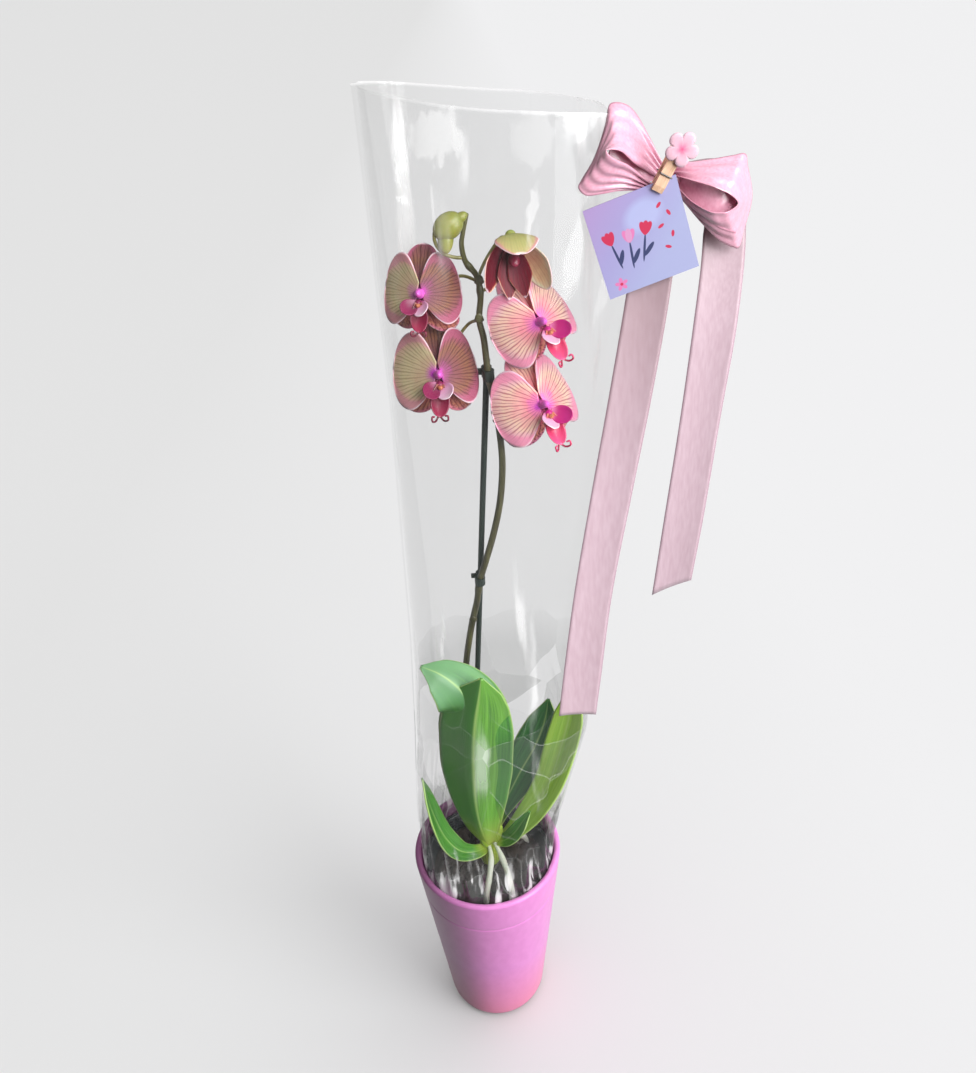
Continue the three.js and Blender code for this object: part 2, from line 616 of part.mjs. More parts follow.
/** A point of the film, round the sleeve by angle and up it by share, offset inwards. */
function filmPoint(angle, share, inwards) {
  const { lerp, smoothstep } = THREE.MathUtils;
  const rightness = (1 + Math.cos(angle)) / 2;
  const top = SLEEVE_TOP - SLEEVE_FALL * rightness - SLEEVE_DROP * smoothstep(rightness, 0.78, 1)
    - SLEEVE_FRONT_DIP * Math.max(-Math.sin(angle), 0);
  const height = lerp(SLEEVE[0][0], top, share);
  const [, left, right, depth] = sleeveRing(height);
  const boxy = lerp(1, 0.84, smoothstep(height, 240, 420));
  const rounded = (value) => Math.sign(value) * Math.pow(Math.abs(value), boxy);
  const gathered = smoothstep(height, 300, 740) * smoothstep(rightness, 0.5, 1);
  const x = (left + right) / 2 + ((right - left) / 2 - inwards) * rounded(Math.cos(angle));
  const y = (depth * (1 - 0.75 * gathered) - inwards) * rounded(Math.sin(angle)) - GATHER_SHIFT * gathered;
  return new THREE.Vector3(x, y, height);
}

function filmTube() {
  const sides = 28;
  const levels = [0, 0.066, 0.118, 0.14, 0.185, 0.23, 0.28, 0.35, 0.47, 0.61, 0.74, 0.86, 0.94, 1];
  const positions = [];
  for (const inwards of [0, FILM]) {
    for (const level of levels) {
      for (let j = 0; j < sides; j++) {
        positions.push(...filmPoint((2 * Math.PI * (j + 0.5)) / sides, level, inwards));
      }
    }
  }
  const triangles = [];
  const inner = levels.length * sides;
  const quad = (a, b, c, d) => triangles.push(a, b, c, a, c, d);
  for (let j = 0; j < sides; j++) {
    const next = (j + 1) % sides;
    for (let i = 0; i < levels.length - 1; i++) {
      const [a, b] = [i * sides + j, i * sides + next];
      quad(a, b, b + sides, a + sides);
      triangles.push(inner + a, inner + b + sides, inner + b);
      triangles.push(inner + a, inner + a + sides, inner + b + sides);
    }
    const top = (levels.length - 1) * sides;
    quad(next, j, inner + j, inner + next);
    quad(top + j, top + next, inner + top + next, inner + top + j);
  }
  return closed(positions, triangles);
}

/** The flat welded seam that stands out along the left edge of the film. */
function filmSeam() {
  const from = 0.185;
  const point = (u, v) => {
    const share = THREE.MathUtils.lerp(from, 1, u);
    const edge = filmPoint(Math.PI, share, 0);
    const width = SEAM_WIDTH * (0.15 + 0.85 * u);
    return edge.add(new THREE.Vector3(1 - (width + 1) * v, 0, 0));
  };
  return sheet(point, 10, 1, 1.2);
}

// ---------------------------------------------------------------- bow, card and peg

/** A strip of ribbon between two edges, each a smooth curve through a few points. */
function ribbon(nearEdge, farEdge, steps) {
  const [near, far] = [curveThrough(nearEdge), curveThrough(farEdge)];
  return sheet((u, v) => near.getPoint(u).lerp(far.getPoint(u), v), steps, 3, RIBBON);
}

const knotSolid = (margin = 0) =>
  ball(KNOT_SIZE.x + margin, KNOT_SIZE.y + margin, KNOT_SIZE.z + margin, at(...KNOT), 12, 8);

// Each loop leaves the knot, turns round at its end and comes back: its near edge, then its far edge.
const LEFT_LOOP = [
  [[127, -12, 759], [122.4, -17, 759.9], [113.7, -22, 765.4], [105.5, -32, 771.5], [97.6, -41, 778.7],
    [89, -45, 780.6], [92.8, -43, 776.3], [101, -37, 771.8], [111.1, -28, 762.7], [121.8, -21, 756.7],
    [127, -13, 756]],
  [[127, -10, 763], [124.1, -15, 767], [116.5, -15, 780.8], [106.9, -16, 793.5], [95.2, -18, 797.4],
    [88, -29, 779], [77.4, -33, 762.8], [82.9, -32, 756.5], [98.2, -28, 757], [113.2, -24, 756],
    [127, -10, 754.5]],
];

const RIGHT_LOOP = [
  [[129.5, -12, 760], [131.1, -19, 760.5], [135.9, -29, 760], [146, -36, 757.8], [154.9, -37, 754],
    [161.3, -33, 747.7], [153.9, -38, 745.2], [146, -38, 745.7], [137.2, -31, 749.7], [131.8, -20, 754.3],
    [129.5, -13, 756]],
  [[129.5, -10, 764], [131.9, -14, 766], [140.3, -17, 767], [151.7, -18, 768], [165.2, -17, 768],
    [175.6, -10, 744.9], [168.1, -18, 720.8], [155.9, -22, 726.4], [145.2, -24, 737.2], [134.7, -18, 749.5],
    [129.5, -10, 754]],
];

// The left and right edges of each hanging end, from the knot down.
const LEFT_TAIL = [
  [[123, -13, 755], [114.8, -20, 747], [108.3, -24, 729.9], [104.4, -27, 700.4], [95.4, -31, 641.7],
    [84.9, -34, 575.1], [73.5, -38, 499.3], [65.5, -41, 430], [61.8, -43, 393.7]],
  [[131, -13, 753], [132.4, -19, 747], [132, -23, 728.1], [129.3, -27, 698.8], [121.4, -30, 639.5],
    [111, -33, 572.6], [99.8, -35, 495.6], [93.3, -37, 426], [89.8, -38, 388]],
];

const RIGHT_TAIL = [
  [[130, -9, 754], [140.2, -8, 748.5], [150.5, -6, 738], [150.2, -9, 724.5], [149.5, -12, 710.2],
    [147.1, -15, 678.9], [142.4, -17, 615.4], [136.1, -18, 542.7], [131, -18, 480.6]],
  [[130, -7, 763], [140, -5, 765], [159.1, -3, 764], [173, -3, 742.7], [175, -8, 722.7],
    [173, -15, 677.1], [167.7, -17, 613.6], [162.4, -18, 540.6], [158, -18, 491.5]],
];

// The peg's own frame: x across it, y through it, z up its handles, from the middle of its spring.
const pegTurn = new THREE.Matrix4().makeTranslation(...PEG_COIL)
  .multiply(new THREE.Matrix4().makeRotationY(degrees(PEG_LEAN)));

/** One lever of the peg: a wedge with a jaw below and a tapered handle above, on its own side. */
function pegLever(side) {
  const near = PEG_MOUTH / 2;
  const seat = PEG_COIL_RADIUS + GAP;
  const profile = [
    [near, -PEG_JAW], [near + PEG_LEVER - 0.8, -PEG_JAW], [near + PEG_LEVER, -PEG_JAW + 3],
    [near + PEG_LEVER, 3], [near + PEG_LEVER + 1.4, PEG_HANDLE], [near + 2.8, PEG_HANDLE],
    [near + 0.6, 3], [seat, 1.2], [seat, -1.2], [near, -2.6],
  ];
  const shape = new THREE.Shape(profile.map(([y, z]) => new THREE.Vector2(y, z)));
  const through = new THREE.Vector3(0, side, 0);
  const across = new THREE.Vector3(side, 0, 0);
  return new THREE.ExtrudeGeometry(shape, { depth: PEG_WIDTH, bevelEnabled: false })
    .translate(0, 0, -PEG_WIDTH / 2)
    .applyMatrix4(new THREE.Matrix4().makeBasis(through, new THREE.Vector3(0, 0, 1), across))
    .applyMatrix4(pegTurn);
}

/** The spring's coil between the levers. */
function pegCoil() {
  return new THREE.CylinderGeometry(PEG_COIL_RADIUS, PEG_COIL_RADIUS, PEG_WIDTH / 2, 12)
    .rotateZ(Math.PI / 2)
    .applyMatrix4(pegTurn);
}

/** The spring's wire that crosses the back of a lever. */
function pegWire(side) {
  const radius = 0.45;
  return new THREE.CylinderGeometry(radius, radius, PEG_WIDTH + 1.4, 6)
    .rotateZ(Math.PI / 2)
    .translate(0, side * (PEG_MOUTH / 2 + PEG_LEVER + GAP + radius), 0)
    .applyMatrix4(pegTurn);
}

/** The felt flower glued on the front lever's handle: five petals, one of them pointing down. */
function charm() {
  const steps = 30;
  const outline = Array.from({ length: steps }, (_, i) => {
    const angle = (2 * Math.PI * i) / steps;
    const reach = CHARM_RADIUS * (0.6 + 0.4 * Math.sqrt(Math.abs(Math.cos(2.5 * (angle + Math.PI / 2)))));
    return new THREE.Vector2(reach * Math.cos(angle), reach * Math.sin(angle));
  });
  const thickness = 1.4;
  const front = -(PEG_MOUTH / 2 + PEG_LEVER + 1.4 + GAP);
  return new THREE.ExtrudeGeometry(new THREE.Shape(outline), { depth: thickness, bevelEnabled: false })
    .rotateX(Math.PI / 2)
    .rotateY(degrees(-PEG_LEAN))
    .translate(0.3, front, PEG_HANDLE + 1.5)
    .applyMatrix4(pegTurn);
}

/** The card, its right-hand corner between the jaws. */
function card() {
  return new THREE.BoxGeometry(CARD_SIZE, CARD, CARD_SIZE)
    .rotateY(degrees(-CARD_TURN - PEG_LEAN))
    .translate(CARD_SHIFT, 0, -CARD_BELOW)
    .applyMatrix4(pegTurn);
}

// ---------------------------------------------------------------- finishes

const finish = (color, roughness, metalness = 0, opacity = 1) =>
  new THREE.MeshStandardMaterial({ color, roughness, metalness, opacity, transparent: opacity < 1 });

const FINISH = {
  glaze: finish(0xf0a2e0, 0.3),
  smoke: finish(0x2c302e, 0.3, 0, 0.6),
  bark: finish(0x4a3a2c, 0.9),
  root: finish(0xb9bfa6, 0.6),
  leaf: finish(0x4b8a38, 0.45),
  lightLeaf: finish(0x86b83e, 0.45),
  stem: finish(0x5d5a34, 0.5),
  bud: finish(0xa4ac48, 0.5),
  petal: finish(0xe08a92, 0.55),
  lip: finish(0xc01866, 0.5),
  stake: finish(0x1f2b26, 0.5),
  film: finish(0xeef0ee, 0.08, 0, 0.25),
  satin: finish(0xeeaac4, 0.35),
  print: finish(0xb8b2e2, 0.6),
  wood: finish(0xcfa98c, 0.7),
  steel: finish(0x8a8a8a, 0.3, 1),
  felt: finish(0xe8b6c6, 0.8),
};

// ---------------------------------------------------------------- the assembly

const plant = new THREE.Group();

function place(name, geometry, material) {
  const mesh = new THREE.Mesh(geometry, material);
  mesh.name = name;
  plant.add(mesh);
}

place('cachepot', cachepot(), FINISH.glaze);
place('growing_pot', growingPot(), FINISH.smoke);
place('bark', cut(barkBody(), crown(GAP), stakeRod(GAP), ...rootRods(GAP)), FINISH.bark);
place('crown_and_roots', join(crown(), ...rootRods()), FINISH.root);

for (const [name, form] of Object.entries(LEAVES)) {
  const material = name === 'leaf_right' ? FINISH.lightLeaf : FINISH.leaf;
  place(name, cut(leaf(form), crown(GAP), ...rootRods(GAP)), material);
}

const frames = { bloom_3: bloomFrame(NODDING) };
for (const [name, form] of Object.entries(BLOOMS)) frames[name] = bloomFrame(form);

place('flower_spike', flowerSpike(frames), FINISH.stem);
place('bud', cut(topBud(), budStalk(GAP), spikeRod(GAP)), FINISH.bud);
for (const [name, { size }] of Object.entries(BLOOMS)) {
  place(`${name}_tepals`, tepals(size, OPEN, frames[name]), FINISH.petal);
  place(`${name}_lip`, lip(size, frames[name]), FINISH.lip);
}
place('bloom_3_tepals', tepals(1, HALF_OPEN, frames.bloom_3), FINISH.petal);
place('bloom_3_lip', noddingLip(frames.bloom_3), FINISH.lip);

place('stake', stakeRod(), FINISH.stake);
place('clip_lower', clip(485, 6), FINISH.stake);
place('clip_upper', clip(644, 7), FINISH.stake);

place('film_sleeve', cut(join(filmTube(), filmSeam()), knotSolid(GAP)), FINISH.film);
place('bow_knot', knotSolid(), FINISH.satin);
place('bow_loop_left', cut(ribbon(...LEFT_LOOP, 18), knotSolid(GAP)), FINISH.satin);
place('bow_loop_right', cut(ribbon(...RIGHT_LOOP, 18), knotSolid(GAP)), FINISH.satin);
place('ribbon_tail_left', cut(ribbon(...LEFT_TAIL, 10), knotSolid(GAP)), FINISH.satin);
place('ribbon_tail_right', cut(ribbon(...RIGHT_TAIL, 10), knotSolid(GAP)), FINISH.satin);

place('card', card(), FINISH.print);
place('peg_lever_front', pegLever(-1), FINISH.wood);
place('peg_lever_back', pegLever(1), FINISH.wood);
place('peg_spring', pegCoil(), FINISH.steel);
place('peg_wire_front', pegWire(-1), FINISH.steel);
place('peg_wire_back', pegWire(1), FINISH.steel);
place('peg_flower', charm(), FINISH.felt);

export default plant;
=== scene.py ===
"""A moth orchid in its pot, wrapped for giving: the looks of every piece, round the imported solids.

Metres, in the frame of the solids: X to the right, Y to the back, Z up, with the origin under the
middle of the pot. Points and sizes that are easier to read in millimetres go through mm().
"""

import math

import bpy
import numpy as np
from mathutils import Matrix, Vector


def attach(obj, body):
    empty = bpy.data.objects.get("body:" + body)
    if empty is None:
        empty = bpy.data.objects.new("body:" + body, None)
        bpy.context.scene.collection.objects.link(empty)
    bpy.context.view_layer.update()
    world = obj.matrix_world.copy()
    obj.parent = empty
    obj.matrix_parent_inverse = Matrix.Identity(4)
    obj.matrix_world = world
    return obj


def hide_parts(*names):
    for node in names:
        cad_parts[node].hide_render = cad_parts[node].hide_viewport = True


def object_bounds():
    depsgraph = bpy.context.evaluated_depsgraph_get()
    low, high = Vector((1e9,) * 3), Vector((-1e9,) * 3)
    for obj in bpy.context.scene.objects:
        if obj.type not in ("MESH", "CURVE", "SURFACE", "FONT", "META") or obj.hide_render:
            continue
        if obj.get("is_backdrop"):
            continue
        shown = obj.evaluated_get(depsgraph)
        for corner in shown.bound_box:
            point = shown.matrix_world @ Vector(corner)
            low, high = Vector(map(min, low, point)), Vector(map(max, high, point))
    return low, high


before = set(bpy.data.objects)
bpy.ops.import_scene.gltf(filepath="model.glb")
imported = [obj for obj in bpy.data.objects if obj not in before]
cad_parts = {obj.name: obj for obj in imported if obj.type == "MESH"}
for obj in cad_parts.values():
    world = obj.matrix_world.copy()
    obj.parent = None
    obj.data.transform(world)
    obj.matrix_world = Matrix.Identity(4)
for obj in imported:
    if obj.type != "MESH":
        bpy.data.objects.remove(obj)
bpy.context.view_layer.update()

# ---------------------------------------------------------------- camera
# The photograph looks down on the pot from the front with a wide lens, and is tilted a little to one
# side. The lens and the place were found from the outlines of the pot's rim, foot and groove.

camera = bpy.data.objects.new("camera", bpy.data.cameras.new("camera"))
bpy.context.scene.collection.objects.link(camera)
bpy.context.scene.camera = camera
camera.data.lens = 30
camera.data.sensor_width = 36
LOOK_DOWN = math.radians(32.92)
CAMERA_ROLL = math.radians(-3.62)
right = Vector((1, 0, 0))
upwards = Vector((0, math.sin(LOOK_DOWN), math.cos(LOOK_DOWN)))
forward = Vector((0, math.cos(LOOK_DOWN), -math.sin(LOOK_DOWN)))
camera_x = math.cos(CAMERA_ROLL) * right + math.sin(CAMERA_ROLL) * upwards
camera_y = math.cos(CAMERA_ROLL) * upwards - math.sin(CAMERA_ROLL) * right
camera.matrix_world = Matrix.Translation((0.018, -0.5218, 0.8646)) @ Matrix(
    (camera_x, camera_y, -forward)).transposed().to_4x4()

# ---------------------------------------------------------------- floor and light
# A pale seamless floor under a broad soft light from the right and the front, as in a bright room
# whose left side is darker.


def shade(code):
    """The linear colour of an sRGB hex code."""
    parts = [int(code[i:i + 2], 16) / 255 for i in (0, 2, 4)]
    linear = [c / 12.92 if c <= 0.04045 else ((c + 0.055) / 1.055) ** 2.4 for c in parts]
    return (*linear, 1.0)


def feed(node, inputs):
    """Give a node its inputs, by name or in order: each a value, an output, or a node for its output."""
    if isinstance(inputs, dict):
        pairs = [(node.inputs[name], value) for name, value in inputs.items()]
    else:
        pairs = zip([socket for socket in node.inputs if socket.enabled], inputs)
    for socket, value in pairs:
        if isinstance(value, bpy.types.Node):
            value = next(output for output in value.outputs if output.enabled)
        if isinstance(value, bpy.types.NodeSocket):
            node.id_data.links.new(value, socket)
        else:
            socket.default_value = value


def add(tree, kind, inputs=(), stops=(), **settings):
    """One node with its settings, its inputs, and the places and colours of its ramp."""
    node = tree.nodes.new("ShaderNode" + kind)
    for name, value in settings.items():
        setattr(node, name, value)
    feed(node, inputs)
    for i, (place, code) in enumerate(stops):
        ramp = node.color_ramp.elements
        stop = ramp[i] if i < 2 else ramp.new(place)
        stop.position = place
        stop.color = shade(code)
    return node


def surface(name, values):
    """A material, its node tree and its main shader with the values that are the same all over."""
    material = bpy.data.materials.new(name)
    material.use_nodes = True
    tree = material.node_tree
    shader = tree.nodes["Principled BSDF"]
    feed(shader, values)
    return material, tree, shader


FLOOR_REACH = 200
floor_mesh = bpy.data.meshes.new("floor")
floor_mesh.from_pydata(
    [(x * FLOOR_REACH, y * FLOOR_REACH, 0) for x, y in ((-1, -1), (1, -1), (1, 1), (-1, 1))],
    [], [(0, 1, 2, 3)])
floor = bpy.data.objects.new("floor", floor_mesh)
bpy.context.scene.collection.objects.link(floor)
# Matt white paint that gives little light back, so the shaded side of the pot stays dark.
paint, tree, shader = surface("matt_white_paint", {"Roughness": 0.9, "Specular IOR Level": 0.1})
parts = add(tree, "SeparateXYZ", [add(tree, "TexCoord").outputs["Object"]])
# Painted shade: the paint is a little darker towards the left.
sideways = add(tree, "MapRange", [parts.outputs["X"], -0.7, 0.5])
tint = add(tree, "ValToRGB", [sideways], [(0.0, "DEDEDE"), (1.0, "EBEBEC")])
seen = add(tree, "LightPath")
given = add(tree, "Mix", [seen.outputs["Is Diffuse Ray"], tint, shade("4A4A4A")], data_type="RGBA")
feed(shader, {"Base Color": given})
floor_mesh.materials.append(paint)
floor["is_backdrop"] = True

# The room gives its light from the right and from overhead.
world = bpy.data.worlds.new("room")
bpy.context.scene.world = world
world.use_nodes = True
tree = world.node_tree
parts = add(tree, "SeparateXYZ", [add(tree, "TexCoord").outputs["Generated"]])
sideways = add(tree, "MapRange", [parts.outputs["X"], -0.25, 0.75, 0.02, 0.55])
overhead = add(tree, "MapRange", [parts.outputs["Z"], 0.3, 0.95, 0.0, 0.64])
both = add(tree, "Math", [sideways, overhead])
feed(tree.nodes["Background"], {"Color": shade("FFFFFF"), "Strength": both})


def linked(name, objects, state):
    """A collection of the objects that a light alone reaches (INCLUDE) or doesn't reach (EXCLUDE)."""
    group = bpy.data.collections.new(name)
    for item in objects:
        group.objects.link(item)
        group.collection_objects[-1].light_linking.link_state = state
    return group


def light(name, kind, power, way, receivers=None):
    """A light that shines along way, on all objects or on those that a collection names."""
    lamp = bpy.data.objects.new(name, bpy.data.lights.new(name, kind))
    bpy.context.scene.collection.objects.link(lamp)
    lamp.data.energy = power
    lamp.rotation_euler = Vector(way).to_track_quat("-Z", "Y").to_euler()
    lamp.light_linking.receiver_collection = receivers
    return lamp


floor_left_out = linked("floor_left_out", [floor], "EXCLUDE")
floor_alone = linked("floor_alone", [floor], "INCLUDE")
WINDOW_WAY = (-0.64, 0.40, -0.62)
for name, power, spread, way, receivers in (
        ("window_light", 0.92, 34, WINDOW_WAY, None),
        ("window_light_on_plant", 0.5, 34, WINDOW_WAY, floor_left_out),
        ("ceiling_bounce", 0.95, 150, (0, 0, -1), floor_alone)):
    light(name, "SUN", power, way, receivers).data.angle = math.radians(spread)


def panel(name, place, target, size, power, diffuse=False):
    """A soft light panel that shines at a point, and not on the floor."""
    lamp = light(name, "AREA", power, Vector(target) - Vector(place), floor_left_out)
    lamp.data.shape = "RECTANGLE"
    lamp.data.size, lamp.data.size_y = size
    lamp.visible_diffuse = diffuse
    lamp.location = place
    return lamp


panel("key_right", (1.1, -0.9, 0.7), (0.03, 0.0, 0.4), (0.7, 0.9), 16, True)
key_front = panel("key_front", (0.5, -1.1, 1.35), (0.03, 0.0, 0.6), (0.6, 0.6), 15, True)
panel("strip_right", (0.9, -0.7, 1.3), (0.0, 0.0, 0.5), (0.2, 1.1), 5)
panel("strip_left", (-0.55, -0.9, 1.5), (0.0, 0.0, 0.6), (0.12, 0.8), 0.5)
bpy.context.scene.view_settings.view_transform = "Standard"

# ---------------------------------------------------------------- glazed pot
# A tall tapered pot of earthenware under a smooth pink glaze, thrown with a rounded rim and a
# fine turned groove. It stands free; everything else stands in it.


def mm(*values):
    """Millimetres as metres: one number, or a row or a list of rows as an array."""
    value = values[0] if len(values) == 1 else values
    return value * 0.001 if isinstance(value, (int, float)) else np.array(value, float) * 0.001


def mesh_of(name, patches):
    """One mesh from patches of points. A patch is a dict with its grid of points, whether it is
    closed across, and its material's index. The UV map "sheet" holds the shares along and across, and
    "fan" holds a petal's reach and angle from its foot."""
    vertices, faces, shares, fans, slots = [], [], [], [], []
    for patch in patches:
        grid = patch["grid"]
        rows, columns = grid.shape[:2]
        start = len(vertices)
        vertices.extend(map(tuple, grid.reshape(-1, 3)))
        across = columns if patch.get("closed") else columns - 1
        for i in range(rows - 1):
            for j in range(across):
                k = (j + 1) % columns
                faces.append([start + a * columns + b for a, b in ((i, j), (i, k), (i + 1, k), (i + 1, j))])
                shares.extend(((a / (rows - 1), b / across)
                               for a, b in ((i, j), (i, j + 1), (i + 1, j + 1), (i + 1, j))))
                fans.extend(tuple(patch["fan"][a, b]) if "fan" in patch else (0.0, 0.0)
                            for a, b in ((i, j), (i, k), (i + 1, k), (i + 1, j)))
                slots.append(patch.get("material", 0))
    mesh = bpy.data.meshes.new(name)
    mesh.from_pydata(vertices, [], faces)
    layer = mesh.uv_layers.new(name="sheet")
    layer.data.foreach_set("uv", np.array(shares, np.float32).ravel())
    if any("fan" in patch for patch in patches):
        layer = mesh.uv_layers.new(name="fan")
        layer.data.foreach_set("uv", np.array(fans, np.float32).ravel())
    mesh.polygons.foreach_set("material_index", slots)
    mesh.polygons.foreach_set("use_smooth", [True] * len(faces))
    mesh.update()
    return mesh


PLANT = "wrapped_orchid"


def place(name, patches, materials, slot, nodes, body=PLANT, thick=0.0):
    """A piece of the object: its mesh, materials and thickness, riding on its body in a node's place."""
    mesh = mesh_of(name, patches)
    for material in materials:
        mesh.materials.append(material)
    piece = bpy.data.objects.new(name, mesh)
    bpy.context.scene.collection.objects.link(piece)
    if thick:
        shell = piece.modifiers.new("thickness", "SOLIDIFY")
        shell.thickness = thick
        shell.offset = 0
    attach(piece, body)
    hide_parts(*nodes)
    return piece


def circle(sides):
    """Angles spread evenly once round."""
    return np.linspace(0, 2 * math.pi, sides, endpoint=False)


def turned(profile, sides):
    """A patch turned about the upright axis from radius and height pairs."""
    radius, height = np.array(profile).T
    turn = circle(sides)
    grid = np.stack([radius[:, None] * np.cos(turn), radius[:, None] * np.sin(turn),
                     np.repeat(height[:, None], sides, 1)], -1)
    return {"grid": grid, "closed": True}


def arc(centre, radius, start, end, steps):
    """Points of an arc in a profile, with angles in degrees."""
    turn = np.radians(np.linspace(start, end, steps))
    return [(centre[0] + radius * math.cos(t), centre[1] + radius * math.sin(t)) for t in turn]


POT_HEIGHT, POT_RIM, POT_FOOT, POT_WALL = mm(200), mm(65), mm(45), mm(4.5)
POT_SLOPE = (POT_RIM - POT_FOOT) / POT_HEIGHT
LEDGE_HEIGHT, LEDGE_RADIUS, POT_FLOOR = mm(76), mm(39), mm(7)
CORNER, LIP = mm(10), mm(2.75)
GROOVE_HEIGHT = mm(164)
lean = math.degrees(math.atan(POT_SLOPE))


def pot_outside(height):
    """The pot's outer radius at a height."""
    return POT_FOOT + POT_SLOPE * height


corner_middle = (pot_outside(CORNER) - CORNER * math.hypot(1, POT_SLOPE), CORNER)
lip_middle = (pot_outside(POT_HEIGHT - LIP) - LIP, POT_HEIGHT - LIP)
groove = [(pot_outside(GROOVE_HEIGHT + mm(z)) - mm(d), GROOVE_HEIGHT + mm(z))
          for z, d in ((-3, 0), (-1.6, 0), (-0.7, 0.35), (0, 0.5), (0.7, 0.35), (1.6, 0), (3, 0))]
wall = [(pot_outside(z), z) for z in np.linspace(CORNER + mm(3), GROOVE_HEIGHT - mm(8), 12)]
pot_profile = [
    (0.0, 0.0), (corner_middle[0] * 0.5, 0.0), *arc(corner_middle, CORNER, -90, -lean, 10), *wall, *groove,
    *arc(lip_middle, LIP, -lean, 180, 14),
    (pot_outside(POT_HEIGHT - mm(14)) - POT_WALL, POT_HEIGHT - mm(14)),
    (pot_outside(LEDGE_HEIGHT) - POT_WALL, LEDGE_HEIGHT),
    (LEDGE_RADIUS, LEDGE_HEIGHT), (LEDGE_RADIUS - mm(4), POT_FLOOR), (0.0, POT_FLOOR),
]

# Glazed earthenware: an even satin glaze that pools a little, over a body with fine pitting. It is warmer
# at the foot, and on the side away from the window it is darkened by painted shade.
glaze, tree, shader = surface("satin_glazed_earthenware", {
    "Roughness": 0.36, "IOR": 1.5, "Specular IOR Level": 0.35, "Coat Weight": 0.1, "Coat Roughness": 0.2})
GLAZE_POOL = 18.0  # patches about 55 mm across
GLAZE_PIT = 900.0  # pits about 1 mm across
pool = add(tree, "TexNoise", {"Scale": GLAZE_POOL, "Detail": 3.0, "Roughness": 0.5})
pink = add(tree, "ValToRGB", [pool], [(0.3, "E58CD2"), (0.7, "EC94DA")])
where = add(tree, "SeparateXYZ", [add(tree, "TexCoord").outputs["Object"]]).outputs
low = add(tree, "MapRange", [where["Z"], 0.0, 0.09, 0.75, 0.0])
warm = add(tree, "Mix", [low, pink, shade("F2849A")], data_type="RGBA")
# Painted shade: the colour darkens towards the side away from the window.
away = add(tree, "MapRange", [where["X"], -0.055, -0.006, 0.64, 0.0])
tint = add(tree, "Mix", [away, warm, shade("5E3A4C")], data_type="RGBA")
pits = add(tree, "TexNoise", {"Scale": GLAZE_PIT, "Detail": 1.0})
bump = add(tree, "Bump", {"Strength": 0.05, "Distance": 0.0002, "Height": pits})
feed(shader, {"Base Color": tint, "Normal": bump})
glazed_pot = place("glazed_pot", [turned(pot_profile, 144)], [glaze], "pink_glaze", ["cachepot"])
key_front.light_linking.receiver_collection = linked(
    "floor_and_pot_left_out", [floor, glazed_pot], "EXCLUDE")

# ---------------------------------------------------------------- growing pot
# The thin smoky pot that the orchid was grown in, blown from clear plastic with a flat rim and a
# drain hole. It hangs inside the glazed pot, standing on its ledge.

LINER_FLOOR = LEDGE_HEIGHT + mm(0.3)
LINER_TOP = LINER_FLOOR + mm(111)
LINER_FOOT, LINER_MOUTH, LINER_RIM, LINER_WALL = mm(43), mm(53.4), mm(56.2), mm(1)
LINER_RIM_DEPTH, DRAIN = mm(4), mm(6)
liner_slope = (LINER_MOUTH - LINER_FOOT) / (LINER_TOP - LINER_FLOOR)


def liner_inside(height):
    """The growing pot's inner radius at a height."""
    return LINER_FOOT + liner_slope * (height - LINER_FLOOR) - LINER_WALL


rim_foot = LINER_TOP - LINER_RIM_DEPTH
liner_profile = [
    (DRAIN, LINER_FLOOR), (LINER_FOOT - mm(1), LINER_FLOOR), (LINER_FOOT, LINER_FLOOR + mm(1)),
    (LINER_MOUTH - mm(0.6), rim_foot - mm(0.6)), (LINER_MOUTH, rim_foot),
    (LINER_RIM - mm(0.4), rim_foot), (LINER_RIM, rim_foot + mm(0.5)),
    (LINER_RIM, LINER_TOP - mm(0.5)), (LINER_RIM - mm(0.5), LINER_TOP),
    (liner_inside(LINER_TOP) + mm(0.5), LINER_TOP), (liner_inside(LINER_TOP), LINER_TOP - mm(0.5)),
    (liner_inside(LINER_FLOOR + LINER_WALL), LINER_FLOOR + LINER_WALL), (DRAIN, LINER_FLOOR + LINER_WALL),
    (DRAIN, LINER_FLOOR),
]

# Smoke-tinted polypropylene, blow moulded: dark, slightly clear, with a soft gloss.
smoke, tree, shader = surface("smoky_polypropylene", {
    "Roughness": 0.28, "IOR": 1.49, "Alpha": 0.82})
cloud = add(tree, "TexNoise", {"Scale": 60.0, "Detail": 2.0})
dark = add(tree, "ValToRGB", [cloud], [(0.3, "20262A"), (0.7, "3A4042")])
feed(shader, {"Base Color": dark})
place("smoky_growing_pot", [turned(liner_profile, 96)], [smoke], "smoky_plastic", ["growing_pot"])

# ---------------------------------------------------------------- bark
# Coarse pine bark that fills the growing pot: rough chips lying every way on a packed bed, with room
# left for the crown.

BARK_TOP, BARK_RELIEF, BARK_REACH = mm(178), mm(5), mm(43)
BARK_FOOT = LINER_FLOOR + LINER_WALL + mm(0.3)
CROWN_PLACE, CROWN_CLEARANCE = Vector((0.002, 0.004)), mm(11)
draw = np.random.RandomState(11)


def bed_radius(height):
    return liner_inside(height) - mm(0.6)


bed = turned([
    (0.0, BARK_FOOT), (bed_radius(BARK_FOOT), BARK_FOOT), (bed_radius(BARK_TOP - mm(8)), BARK_TOP - mm(8)),
    (bed_radius(BARK_TOP) - mm(3), BARK_TOP - mm(7)),
    *[(mm(r), BARK_TOP - mm(6)) for r in (40, 30, 20, 10, 0)]], 48)


